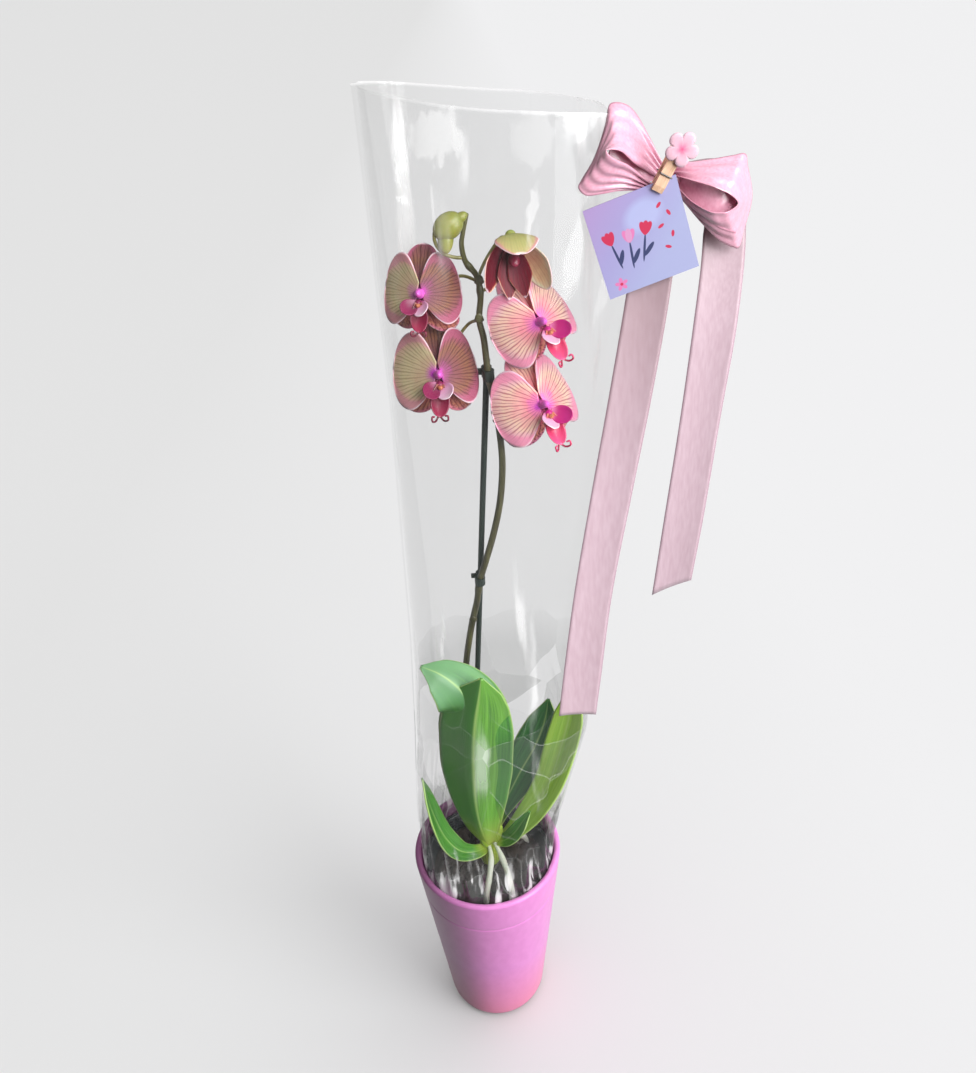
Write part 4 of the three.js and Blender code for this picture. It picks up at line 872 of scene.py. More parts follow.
petal_skins = {
    "bright": petal_skin("salmon_veined_petal", [
        (0.05, "CC34C4"), (0.15, "F078C0"), (0.28, "FC9CA8"), (0.6, "FFD6C0"), (0.85, "FFC4CC"),
        (1.0, "FFA2C0")], "AC2C56", 0.72),
    # The next skin is a copy darkened as painted shade, for the two flowers on the left.
    "in_painted_shade": petal_skin("veined_petal_painted_shade", [
        (0.05, "C034B0"), (0.15, "984278"), (0.28, "7C4450"), (0.6, "8A5C46"), (0.85, "94525E"),
        (1.0, "A4546E")], "481A22", 0.75),
    "olive": petal_skin("olive_veined_petal", [
        (0.05, "B83CB0"), (0.15, "C07CA0"), (0.28, "BEA286"), (0.6, "CEC098"), (0.85, "DEBAA2"),
        (1.0, "DC9CA4")], "6E5838", 0.5),
}
sepal_skins = {
    "bright": petal_skin("salmon_spotted_sepal", [
        (0.1, "B02C80"), (0.35, "D86478"), (0.7, "EE9C84"), (1.0, "F48CB0")], "8E2A3C", 0.75, 0.75),
    # The next skin is a copy darkened as painted shade, for the two flowers on the left.
    "in_painted_shade": petal_skin("spotted_sepal_painted_shade", [
        (0.1, "90285C"), (0.35, "A84E54"), (0.7, "C07A62"), (1.0, "D87C90")], "5E2428", 0.7, 0.7),
}
# Which flowers take the bright skins, and which the copies darkened as painted shade.
BLOOM_SHADING = {"bloom_1": "in_painted_shade", "bloom_2": "in_painted_shade", "bloom_4": "bright", "bloom_5": "bright"}

# The column and its cap: firm, pale pink and magenta, with a wet gloss.
column_skin, tree, shader = surface("glossy_pink_column", {"Roughness": 0.3, "Subsurface Weight": 0.1})
cloud = add(tree, "TexNoise", {"Scale": 300.0, "Detail": 2.0})
pink = add(tree, "ValToRGB", [cloud], [(0.35, "DC40BE"), (0.65, "F67EDC")])
feed(shader, {"Base Color": pink})

for name, shading in BLOOM_SHADING.items():
    size = BLOOM_SIZE[name]
    patches = []
    for form, skin in zip(OPEN, (0, 1, 1, 0, 3)):
        patches.append(dict(petal(**form, size=size), material=skin))
    for column in (ball(mm(2.7, 2.7, 2.7)), ball(mm(2.1, 2.3, 5), moved((0, 0.5, 4)))):
        patches.append(dict(column, material=2))
    left = petal_skins["olive" if shading == "in_painted_shade" else shading]
    place(name + "_sepals_and_petals", set_in(patches, frames[name]),
          [petal_skins[shading], sepal_skins[shading], column_skin, left], "petal_salmon", [name + "_tepals"],
          thick=PETAL_THICKNESS)

# ---------------------------------------------------------------- lips
# The third petal of each flower: a claw, a broad middle lobe that ends in two curled tendrils,
# and two side lobes that stand up beside the column.


def lobe(foot, tip, face, width, cup, fade=0.5):
    """A rounded blade from a foot to a tip, hollow on the side of face. Sizes are in millimetres."""
    shares = np.linspace(0, 1, 20)
    foot, tip, face = (np.array(v, float) for v in (foot, tip, face))
    axis = tip - foot
    side = unit(np.cross(face, axis))
    face = unit(np.cross(axis, side))
    round_off = np.sqrt(np.clip(1 - (2 * np.clip(shares, 0.5, 1) - 1) ** 2, 0.004, 1))
    half = width / 2 * (fade + (1 - fade) * np.sin(np.clip(shares, 0, 0.5) * math.pi)) * round_off
    across = np.linspace(-1, 1, 15)
    hollow = cup * (half[:, None] * across ** 2 + width * 0.5 * (2 * shares[:, None] - 1) ** 2)
    grid = (foot + shares[:, None, None] * axis + (half[:, None] * across)[..., None] * side
            + hollow[..., None] * face)
    return {"grid": mm(grid)}


def lip_patches(size, sway, vivid):
    """The patches of one lip in its flower's frame: its middle lobe swung aside by sway, and its vivid
    side lobe on the right (1) or the left (-1)."""
    tip = (sway * 0.6, -25, 12.5)
    patches = [dict(lobe((0, -6, 5.5), tip, (0.1, 0.5, 0.9), 12, 0.35, 0.35), material=0)]
    for s in (1, -1):
        tip_of_lobe = (s * 10.5, -11.5, 15) if s == vivid else (s * 4.5, -13.5, 16)
        patches.append(dict(lobe((s * 1.6, -6, 5), tip_of_lobe, (-s * 0.5, 0.6, 0.7), 11.5, 0.22, 0.35),
                            material=1 if s == vivid else 2))
        tendril = [(tip[0] + s * aside, y, z) for aside, y, z in (
            (0.8, -24.4, 12.5), (2.6, -26.6, 14), (4.8, -26, 17), (4.8, -23.4, 17.5), (3.4, -23.4, 16.4))]
        patches.append(dict(rod(mm(tendril), mm(0.35), 24, 8), material=0))
    patches.append(dict(ball(mm(2.4, 2.2, 2.8), moved((0, -5.8, 5.2))), material=1))
    patches.append(dict(ball(mm(1.5, 1.2, 2.0), moved((0, -7.2, 8.2)), 12, 16), material=3))
    return [dict(patch, grid=patch["grid"] * size) for patch in patches]


def lobe_surface(name, values, stops):
    """The skin of a lobe: its colours run from its foot to its rim in soft clouds."""
    material, tree, shader = surface(name, {"Subsurface Weight": 0.08, **values})
    cloud = add(tree, "TexNoise", {"Scale": 240.0, "Detail": 3.0})
    tone = add(tree, "Math", [cloud, 0.4, sheet_shares(tree)[0]], operation="MULTIPLY_ADD")
    # The ramp's factor is halved, since foot to rim and cloud together reach 1.4.
    tone = add(tree, "Math", [tone, 0.5], operation="MULTIPLY")
    tint = add(tree, "ValToRGB", [tone], stops)
    feed(shader, {"Base Color": tint})
    return material


# The middle lobe is fleshy and crimson with a damp gloss; in the flowers on the left it and the vivid side
# lobe are darkened as painted shade. One side lobe is velvety magenta, and the other is pale pink and
# nearly white at its rim.
FLESHY = {"Roughness": 0.34, "Coat Weight": 0.2, "Coat Roughness": 0.2}
lip_skins = {
    "bright": lobe_surface("crimson_lip", FLESHY, [
        (0.08, "D88A60"), (0.18, "A81048"), (0.38, "CC2058"), (0.52, "E04078"), (0.68, "F0709C")]),
    # A copy darkened as painted shade.
    "in_painted_shade": lobe_surface("crimson_lip_painted_shade", FLESHY, [
        (0.08, "B06858"), (0.18, "5E0426"), (0.38, "720830"), (0.52, "8C123C"), (0.68, "AC3458")]),
}
side_skins = {
    "bright": lobe_surface("vivid_magenta_side_lobe", {"Roughness": 0.42}, [
        (0.1, "D878A8"), (0.26, "B80E6C"), (0.46, "C81480"), (0.64, "C4107A")]),
    # A copy darkened as painted shade.
    "in_painted_shade": lobe_surface("magenta_side_lobe_painted_shade", {"Roughness": 0.42}, [
        (0.1, "A85880"), (0.26, "7C1244"), (0.46, "84184A"), (0.64, "8C2050")]),
}
lobe_back = lobe_surface("pale_pink_side_lobe", {"Roughness": 0.36}, [
    (0.1, "B8407C"), (0.26, "E0A0C4"), (0.46, "E6BAD4"), (0.6, "FBE6EE")])

# The callus at the lip's foot: yellow, dotted with red.
callus_skin, tree, shader = surface("yellow_spotted_callus", {"Roughness": 0.35})
dots = add(tree, "TexVoronoi", {"Scale": 900.0})
spots = add(tree, "ValToRGB", [dots], [(0.3, "8A1C34"), (0.5, "CC8458")])
feed(shader, {"Base Color": spots})

LIP_HABIT = {"bloom_1": (3, -1), "bloom_2": (-4, -1), "bloom_4": (-5, 1), "bloom_5": (-4, 1)}
for name, habit in LIP_HABIT.items():
    patches = set_in(lip_patches(BLOOM_SIZE[name], *habit), frames[name])
    shading = BLOOM_SHADING[name]
    place(name + "_lip_lobes", patches, [lip_skins[shading], side_skins[shading], lobe_back, callus_skin],
          "lip_magenta", [name + "_lip"], thick=PETAL_THICKNESS)

# ---------------------------------------------------------------- half-open flower
# It nods on its stalk, and its sepals and petals still close like a bell round a dark middle. They
# are made as those of the open flowers are, and curl inwards.

HALF_OPEN = [
    dict(angle=90, length=30, width=25, lean=-0.3, curl=-1.3, cup=0.2, depth=0, wave=0.2, point=0.3),
    dict(angle=205, length=36, width=22, lean=-0.6, curl=-0.75, cup=0.3, depth=0, wave=0.3, point=0.5),
    dict(angle=331, length=38, width=20, lean=-0.6, curl=-0.7, cup=0.3, depth=0, wave=0.3, point=0.5),
    dict(angle=258, length=35, width=15, lean=-0.75, curl=-0.5, cup=0.35, depth=1, wave=0.3, point=0.7),
    dict(angle=288, length=34, width=14, lean=-0.85, curl=-0.4, cup=0.35, depth=2, wave=0.3, point=0.7),
]
green_back = petal_skin("yellow_green_sepal_back", [
    (0.1, "969E50"), (0.5, "AEAA6A"), (0.8, "BCAA78"), (1.0, "C48C86")], "84844C", 0.3)
dark_inside = petal_skin("dark_red_sepal_inside", [
    (0.1, "5A0022"), (0.5, "6C001E"), (0.8, "7C0A1C"), (1.0, "E0A888")], "3C0014", 0.6)
pink_back = petal_skin("cream_sepal_back", [
    (0.1, "C8605C"), (0.5, "FFD8A8"), (0.8, "FFF8D4"), (1.0, "FCD8C0")], "C05C54", 0.25)
patches = [dict(petal(**form), material=skin) for form, skin in zip(HALF_OPEN, (0, 1, 2, 1, 1))]
patches.append(dict(ball(mm(3, 3, 3)), material=0))
place("bloom_3_sepals_and_petals", set_in(patches, frames["bloom_3"]),
      [green_back, dark_inside, pink_back, column_skin], "petal_salmon", ["bloom_3_tepals"],
      thick=PETAL_THICKNESS)
throat = [ball(mm(1.6, 1.3, 4), moved((0, -3.5, 9))), ball(mm(3.4, 2.4, 4.5), moved((0, -3.4, 13.5)))]
place("bloom_3_lip_lobes", set_in(throat, frames["bloom_3"]), [lip_skins["in_painted_shade"]], "lip_magenta",
      ["bloom_3_lip"])

# ---------------------------------------------------------------- stake and clips
# A plastic-coated stake pushed into the bark beside the spike, and two spring clips that hold the
# spike to it.

# Moulded green-black plastic: dull, with faint lines drawn along it.
coating, tree, shader = surface("green_black_plastic", {"Roughness": 0.45, "IOR": 1.49})
drawn = streaky(tree, add(tree, "TexCoord").outputs["Object"], (700.0, 700.0, 8.0), 2.0)
dark = add(tree, "ValToRGB", [drawn], [(0.3, "18221E"), (0.75, "2F3B35")])
bump = add(tree, "Bump", {"Strength": 0.15, "Distance": 0.0002, "Height": drawn})
feed(shader, {"Base Color": dark, "Normal": bump})
place("coated_stake", [rod(mm([[-21, 16, 100], [1.7, 14, 376], [24.4, 12, 652]]), mm(2.1), 24, 20)],
      [coating], "dark_stake", ["stake"])


def finish_node(name, material, edge=0.0, steps=2):
    """Give a CAD node its material, and round its sharp edges to a radius."""
    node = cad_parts[name]
    node.data.materials.clear()
    node.data.materials.append(material)
    if edge:
        bevel = node.modifiers.new("eased_edge", "BEVEL")
        bevel.width = edge
        bevel.segments = steps
        bevel.limit_method = "ANGLE"


for name in ("clip_lower", "clip_upper"):
    finish_node(name, coating, mm(0.25))

# ---------------------------------------------------------------- film sleeve
# A tube of clear florist's film, welded along its left edge, tucked into the pot's mouth and
# drawn together at the bow. It is stiff enough to stand and it creases in flat facets.

# Each row holds a height, how far the film reaches to the left and to the right of the pot's axis, and
# half its depth.
SLEEVE = [
    (104, -49.6, 49.6, 49.6), (150, -54.4, 54.4, 54.4), (186, -57.7, 57.7, 57.7),
    (202, -58.9, 58.9, 58.9), (235, -57.5, 62, 57), (268, -56, 70, 55), (300, -53.5, 77, 54),
    (350, -49.5, 88, 51), (440, -44, 97, 48), (540, -40.5, 105, 46), (634, -37, 114, 45),
    (700, -36.8, 120, 44), (757, -36.5, 124, 40), (813, -36.5, 124, 34),
]
SLEEVE_TOP, SLEEVE_FALL, SLEEVE_DROP, FRONT_DIP, GATHER_SHIFT, BOXY = 813, 22, 33, 2, 8, 0.84
KNOT = (128.3, -10, 758.2)


def film_points(angle, share):
    """Points of the smooth film in millimetres, round the sleeve by angle and up it by share."""
    rows = np.array(SLEEVE)
    rightness = (1 + np.cos(angle)) / 2
    top = (SLEEVE_TOP - SLEEVE_FALL * rightness - SLEEVE_DROP * ease(rightness, 0.78, 1)
           - FRONT_DIP * np.maximum(-np.sin(angle), 0))
    height = rows[0, 0] + (top - rows[0, 0]) * share
    left, wide, depth = (np.interp(height, rows[:, 0], rows[:, k]) for k in (1, 2, 3))
    boxy = 1 + (BOXY - 1) * ease(height, 240, 420)
    gathered = ease(height, 300, 740) * ease(rightness, 0.5, 1)
    x = (left + wide) / 2 + (wide - left) / 2 * np.sign(np.cos(angle)) * np.abs(np.cos(angle)) ** boxy
    y = depth * (1 - 0.75 * gathered) * np.sign(np.sin(angle)) * np.abs(np.sin(angle)) ** boxy
    return x, y - GATHER_SHIFT * gathered, height


film_turn, film_share = np.meshgrid(circle(260), np.linspace(0, 1, 250))
x, y, z = film_points(film_turn, film_share)
FILM_RADIUS = 58
girth = film_turn * FILM_RADIUS
draw = np.random.RandomState(5)
inwards = np.zeros_like(z)
# Creases: short and slanting where the film is crumpled over the leaves, long and upright above.
CREASES, LOW_SHARE = 64, 0.62
for _ in range(CREASES):
    low_one = draw.rand() < LOW_SHARE
    start = draw.rand() * 2 * math.pi * FILM_RADIUS
    foot = draw.uniform(200, 420) if low_one else draw.uniform(420, 800)
    way = draw.uniform(-1.2, 1.2) if low_one else draw.uniform(-0.25, 0.25)
    long = draw.uniform(30, 90) if low_one else draw.uniform(80, 220)
    aside, up = math.sin(way), math.cos(way)
    du, dz = girth - start, z - foot
    at = np.clip(du * aside + dz * up, 0, long)
    away = np.hypot(du - at * aside, dz - at * up)
    fade = np.sin(math.pi * np.clip(at / long, 0.02, 0.98)) ** 0.5
    inwards += draw.uniform(0.4, 1.5) * fade * np.exp(-away / draw.uniform(2.5, 6))
# Pleats over the pot's rim and finer ones inside it, soft waves higher up, and folds that run to the
# knot. Beside the upper flowers on the left the film lies nearly smooth.
pleats = 2.4 * ease(z, 190, 212) * (1 - ease(z, 240, 330))
inwards += pleats * (1 + np.sin(film_turn * 17 + 1.4 * np.sin(film_turn * 3) + z / 21))
tucked = 1.1 * (1 - ease(z, 176, 184))
inwards += tucked * (1 + np.sin(film_turn * 23 + z / 15))
soft = 1.2 * ease(z, 300, 420)
inwards += soft * (1 + np.sin(film_turn * 3 + z / 90)) * 0.6
fan = ease((1 + np.cos(film_turn)) / 2, 0.72, 0.98) * ease(z, 560, 740)
spoke = np.arctan2(z - KNOT[2], np.abs(y - KNOT[1]) + 14)
inwards += 2.2 * fan * (1 + np.sin(spoke * 17))
inwards *= 1 - 0.85 * (1 - ease(x, -30, -10)) * ease(z, 590, 630) * (1 - ease(z, 760, 790))
centre_x = (x.min(1) + x.max(1))[:, None] / 2
outward = unit(np.stack([x - centre_x, y * 1.4, 0 * z], -1))
film_grid = (np.stack([x, y, z], -1) - outward * inwards[..., None]) * 0.001

# Oriented polypropylene film, 0.04 mm: clear and glossy, with painted reflections in long pale streaks.
# Where the painted highlights and reflections are strongest it is white, and elsewhere its colour is a dark
# grey.
film, tree, shader = surface("clear_polypropylene_film", {
    "Roughness": 0.1, "IOR": 1.5, "Specular IOR Level": 1.0, "Coat Weight": 1.0, "Coat Roughness": 0.04})
where = add(tree, "TexCoord").outputs["Object"]
lengthwise, crosswise = sheet_shares(tree)
place_on = add(tree, "SeparateXYZ", [where]).outputs
# Painted reflections: long pale streaks.
streak_noise = streaky(tree, where, (36.0, 36.0, 4.5), 3.0, (0.0, 0.1, 0.0))
streaks = add(tree, "MapRange", [streak_noise, 0.6, 0.74, 0.0, 0.25], interpolation_type="SMOOTHSTEP")
# Flat facets about 50 mm across where the film is crumpled over the leaves, each with its own painted
# reflection, and painted highlights on the lines between them.
FACETS = 19.0
low_part = add(tree, "MapRange", [place_on["Z"], 0.39, 0.44, 1.0, 0.0])
warp = add(tree, "TexNoise", {"Scale": 9.0, "Detail": 0.0})
bent = add(tree, "VectorMath", [warp.outputs["Color"], 0.012], operation="SCALE")
bent = add(tree, "VectorMath", [where, bent])
cells = add(tree, "TexVoronoi", {"Vector": bent, "Scale": FACETS})
shades = add(tree, "SeparateXYZ", [cells.outputs["Color"]])
facet = add(tree, "MapRange", [shades.outputs["X"], 0.5, 1.0, 0.0, 0.26])
border = add(tree, "TexVoronoi", {"Vector": bent, "Scale": FACETS}, feature="DISTANCE_TO_EDGE")
line = add(tree, "MapRange", [border, 0.002, 0.009, 0.05, 0.0])
line = add(tree, "Math", [line, low_part], operation="MULTIPLY")
facet = add(tree, "Math", [facet, low_part], operation="MULTIPLY")
# Painted upright glints where it is bunched in the mouth of the pot.
bunch = streaky(tree, where, (130.0, 130.0, 22.0), 2.0)
glints = add(tree, "MapRange", [bunch, 0.52, 0.75, 0.0, 0.42], interpolation_type="SMOOTHSTEP")
mouth = add(tree, "MapRange", [place_on["Z"], 0.225, 0.26, 1.0, 0.0])
glints = add(tree, "Math", [glints, mouth], operation="MULTIPLY")
# A painted highlight along the cut edge at the top, where it catches the light.
top = add(tree, "MapRange", [lengthwise, 0.997, 0.999, 0.0, 0.12])
white = add(tree, "Math", [streaks, line])
white = add(tree, "Math", [white, glints])
white = add(tree, "Math", [white, top])
# Painted reflections of the window: ragged pale patches on the front, where the film bulges. Each has its
# middle and half sizes across and up in millimetres, its turn in degrees and its strength.
GLEAMS = ((4, 790, 17, 15, 0, 0.17), (53, 785, 14, 17, 0, 0.07), (75, 728, 8, 30, -14, 0.05),
          (51, 750, 3.5, 15, -12, 0.1), (-27, 750, 3.5, 75, 5, 0.035), (-12, 790, 1.2, 24, 3, 0.1),
          (0, 756, 0.9, 15, 0, 0.1))
on_front = add(tree, "CombineXYZ", [place_on["X"], place_on["Z"]])
# Noise moves the edges of the larger ones, by up to 6 mm across and 15 mm up, either way.
ragged = streaky(tree, where, (150.0, 150.0, 60.0), 3.0).outputs["Color"]
ragged = add(tree, "VectorMath", [ragged, (0.012, 0.03, 0.0), on_front], operation="MULTIPLY_ADD")
ragged = add(tree, "VectorMath", [ragged, (0.006, 0.015, 0.0)], operation="SUBTRACT")
front = add(tree, "Math", [crosswise, 0.5], operation="GREATER_THAN")
SMALLEST_RAGGED = 2
for across, up, half, tall, turn, strength in GLEAMS:
    spot = add(tree, "Mapping", {
        "Vector": ragged if half > SMALLEST_RAGGED else on_front, "Location": (*mm(across, up), 0.0),
        "Rotation": (0.0, 0.0, math.radians(turn)), "Scale": (*mm(half, tall), 1.0)},
               vector_type="TEXTURE")
    spot = add(tree, "VectorMath", [spot], operation="LENGTH")
    spot = add(tree, "MapRange", [spot, 0.6, 1.0, strength, 0.0], interpolation_type="SMOOTHSTEP")
    white = add(tree, "Math", [spot, front, white], operation="MULTIPLY_ADD")
# Even clear film hides a little, and more where it is seen edge on.
CLEAR_FILM, EDGE_ON = 0.084, 0.08
facing = add(tree, "LayerWeight", {"Blend": 0.2}).outputs["Fresnel"]
glance = add(tree, "Math", [facing, EDGE_ON, CLEAR_FILM], operation="MULTIPLY_ADD")
clouded = add(tree, "Math", [glance, facet])
mist = add(tree, "Math", [mouth, 0.2, clouded], operation="MULTIPLY_ADD")
clouded = add(tree, "Math", [mist, white], use_clamp=True)
# The dark grey of the film turns white where the painted highlights and reflections are strong.
grey_to_painted_white = add(tree, "ValToRGB", [white], [(0.0, "444846"), (0.12, "FFFFFF")])
feed(shader, {"Base Color": grey_to_painted_white, "Alpha": clouded})

# The weld: a narrow flat seam that stands off the left edge and widens upwards.
SEAM_START, SEAM_ROWS = 0.185, 120
seam_rows = np.linspace(SEAM_START, 1, SEAM_ROWS)
sx, sy, sz = film_points(np.full(SEAM_ROWS, math.pi), seam_rows)
taper = 0.27 + 1.53 * (seam_rows - SEAM_START) / (1 - SEAM_START)
seam = np.stack([np.stack([sx - 0.4 - taper * k, sy + 0.15 * (k % 2), sz], -1)
                 for k in (-0.4, 0.2, 0.6, 1.0)], 1) * 0.001
place("clear_film_sleeve", [{"grid": film_grid, "closed": True}, {"grid": seam}], [film], "clear_film",
      ["film_sleeve"])

# ---------------------------------------------------------------- bow and ribbon
# Single-faced satin ribbon, 25 mm wide, tied round the gathered film: a knot, two loops and two
# long ends that hang free.


def ribbon_grid(guides, rows=96, columns=25, crown=0.0, pleat=0.0, folds=2.5):
    """A patch of ribbon over guide curves, from one edge to the other, given in millimetres. It arches
    by crown, and is pleated at both ends, where the knot holds it."""
    shares = np.linspace(0, 1, rows)
    curves = np.stack([along(mm(guide), shares) for guide in guides])
    across = np.linspace(0, 1, columns)
    grid = np.stack([along(curves[:, i], across) for i in range(rows)])
    along_way = np.gradient(grid, axis=0)
    side_way = np.gradient(grid, axis=1)
    normal = np.cross(along_way, side_way)
    normal /= np.maximum(np.linalg.norm(normal, axis=2), 1e-12)[..., None]
    arch = crown * (1 - (2 * across - 1) ** 2)
    held = np.exp(-shares / 0.17) + np.exp(-(1 - shares) / 0.17)
    pleats = pleat * held[:, None] * np.cos(2 * math.pi * folds * across + 2 * shares[:, None])
    return {"grid": grid + normal * (arch[None, :] + pleats)[..., None]}


# Woven polyester satin: floats that catch the light in one broad soft band, and a firm selvedge.
THREADS = 90  # drawn about 0.28 mm apart, coarser than real, so that they show


def satin_side(name, values, dark, light, selvedge_code, top=0.0):
    """One side of the satin: its colour in soft clouds, its threads, its darker selvedge, and a share of
    grey-brown painted shadow at the top of a hanging end."""
    material, tree, shader = surface(name, values)
    lengthwise, crosswise = sheet_shares(tree)
    cloud = add(tree, "TexNoise", {"Scale": 28.0, "Detail": 1.0})
    pink = add(tree, "ValToRGB", [cloud], [(0.2, dark), (0.8, light)])
    off = add(tree, "Math", [crosswise, 2.0, -1.0], operation="MULTIPLY_ADD")
    off = add(tree, "Math", [off], operation="ABSOLUTE")
    selvedge = add(tree, "MapRange", [off, 0.93, 0.96, 0.0, 0.5])
    edged = add(tree, "Mix", [selvedge, pink, shade(selvedge_code)], data_type="RGBA")
    # Painted shadow: the top of a hanging end is darkened towards grey-brown.
    painted_shadow = add(tree, "MapRange", [lengthwise, 0.3, 0.62, top, 0.0])
    edged = add(tree, "Mix", [painted_shadow, edged, shade("7A6264")], data_type="RGBA")
    thread = add(tree, "Math", [crosswise, 2 * math.pi * THREADS], operation="MULTIPLY")
    thread = add(tree, "Math", [thread], operation="SINE")
    bump = add(tree, "Bump", {"Strength": 0.04, "Distance": 0.0001, "Height": thread})
    feed(shader, {"Base Color": edged, "Normal": bump})
    return material


satin = satin_side("pink_satin_face", {
    "Roughness": 0.3, "IOR": 1.5, "Specular IOR Level": 0.9, "Anisotropic": 0.5, "Coat Weight": 0.25,
    "Coat Roughness": 0.18}, "D28FA6", "E0AABD", "C48098")
# The back of the same satin, which the hanging ends show: paler and duller, with a painted shadow at their
# tops.
satin_back = satin_side("pale_satin_back", {
    "Roughness": 0.45, "IOR": 1.5, "Sheen Weight": 0.15}, "AE949E", "BAA2AC", "987686", 0.75)

RIBBON = mm(0.35)
LEFT_LOOP = [
    [[127, -12, 759], [122.4, -17, 759.9], [113.7, -22, 765.4], [105.5, -32, 771.5], [101.5, -37, 775.3],
     [97.6, -41, 778.7], [93.5, -43.5, 780.4], [89, -45, 780.6], [90.3, -44.4, 778.4], [92.8, -43, 776.3],
     [96.5, -40.5, 774.2], [101, -37, 771.8], [106.5, -32, 767.5], [117, -24.5, 759], [127, -13, 756]],
    [[127, -10, 763], [124.1, -15, 767], [116.5, -15, 780.8], [107.5, -16, 794], [101.5, -17, 797.8],
     [94.6, -18, 798], [91.5, -23, 789], [84.5, -31, 774], [78, -33, 764.5], [76.4, -33.5, 761.2],
     [80, -33, 757], [89, -30.5, 756.5], [98.2, -28, 757], [113.2, -24, 756], [127, -10, 754.5]],
]
RIGHT_LOOP = [
    [[129.5, -12, 760], [131.1, -19, 760.5], [135.9, -29, 760], [146, -36, 757.8], [150.5, -36.8, 756],
     [154.9, -37, 754], [158.8, -35.3, 751], [161.3, -33, 747.7], [158, -35.6, 746], [153.9, -38, 745.2],
     [150, -38.3, 745.3], [146, -38, 745.7], [137.2, -31, 749.7], [131.8, -20, 754.3], [129.5, -13, 756]],
    [[129.5, -10, 764], [131.9, -14, 766], [140.3, -17, 766.6], [151.7, -18, 768], [161, -17.5, 769],
     [167.2, -17, 769.4], [169.8, -15, 763], [175.4, -10.5, 745.5], [171.5, -15, 730], [168.4, -18, 720.4],
     [165, -19.5, 721.3], [155.9, -22, 726.4], [145.2, -24, 737.2], [134.7, -18, 749.5], [129.5, -10, 754]],
]
LEFT_TAIL = [
    [[123, -13, 755], [114.8, -20, 747], [108.3, -24, 729.9], [104.4, -27, 700.4], [95.4, -31, 641.7],
     [84.9, -34, 575.1], [73.5, -38, 499.3], [65.5, -41, 430], [61.8, -43, 393.7]],
    [[131, -13, 753], [132.4, -19, 747], [132, -23, 728.1], [129.3, -27, 698.8], [121.4, -30, 639.5],
     [111, -33, 572.6], [99.8, -35, 495.6], [93.3, -37, 426], [89.8, -38, 388]],
]
RIGHT_TAIL = [
    [[130, -9, 754], [140.2, -8, 748.5], [150.5, -6, 738], [150.2, -9, 724.5], [149.5, -12, 710.2],
     [147.1, -15, 678.9], [142.4, -17, 615.4], [136.1, -18, 542.7], [131, -18, 480.6]],
    [[130, -7, 763], [140, -5, 765], [159.1, -3, 764], [173, -3, 742.7], [175, -8, 722.7],
     [173, -15, 677.1], [167.7, -17, 613.6], [162.4, -18, 540.6], [158, -18, 491.5]],
]


def ribbon(name, patches, skin, node):
    """A length of the ribbon in one or two runs."""
    piece = place(name, patches, [skin], "pink_satin", [node], thick=RIBBON)


LEFT_TURN = [
    [[125, -13, 761], [112, -20, 770], [101, -27, 781], [95, -31, 783]],
    [[125, -13, 757], [112, -20, 760], [101, -27, 765], [90, -31, 767]],
]
RIGHT_TURN = [
    [[131, -12, 761.5], [142, -25, 762], [152, -30, 761], [163, -27, 757]],
    [[131, -12, 756], [142, -26, 743], [152, -31, 736], [163, -28, 731]],
]
for side, loop, pleat, folds, turn, arch, tail in (
        ("left", LEFT_LOOP, 1.8, 4, LEFT_TURN, -1, LEFT_TAIL),
        ("right", RIGHT_LOOP, 1.5, 3, RIGHT_TURN, 1, RIGHT_TAIL)):
    runs = [ribbon_grid(loop, crown=mm(0.3), pleat=mm(pleat), folds=folds),
            ribbon_grid(turn, 24, 13, mm(arch))]
    ribbon(f"bow_loop_{side}_satin", runs, satin, "bow_loop_" + side)
    ribbon(f"ribbon_tail_{side}_satin", [ribbon_grid(tail, 96, 13, mm(-1.2))], satin_back,
           "ribbon_tail_" + side)

knot = ball(mm(7, 6.5, 8.5), moved(KNOT), 32, 48)
knot_middle = mm(*KNOT)
folds = 1 + 0.05 * np.sin(circle(48) * 7)[None, :, None]
knot["grid"] = knot_middle + (knot["grid"] - knot_middle) * folds
place("bow_knot_satin", [knot], [satin], "pink_satin", ["bow_knot"])

# ---------------------------------------------------------------- card
# A small square card of stiff coated paper, printed in lavender with three tulips, scattered petals
# and a small flower. The peg's jaws hold it by its corner.

CARD_MIDDLE = (0.11088, -0.033, 0.73253)
CARD_TILT = math.radians(18)
card_stock, tree, shader = surface("printed_card_stock", {"Roughness": 0.55, "IOR": 1.5})
where = add(tree, "TexCoord").outputs["Object"]
flat = add(tree, "Mapping", {"Vector": where, "Location": CARD_MIDDLE, "Rotation": (0.0, -CARD_TILT, 0.0)},
           vector_type="TEXTURE")
flat = add(tree, "SeparateXYZ", [flat]).outputs
on_card = add(tree, "CombineXYZ", [flat["X"], flat["Z"]])
slope = add(tree, "Math", [flat["Z"], flat["X"]], operation="SUBTRACT")
slope = add(tree, "MapRange", [slope, -0.02, 0.045])
printed = add(tree, "ValToRGB", [slope], [(0.0, "9094B8"), (0.55, "8C86B2"), (1.0, "947EAC")])
INKS = {"crimson": "AC1440", "navy": "1A2450", "pink": "C0689A", "mist": "989CC2", "rose": "B880A6"}


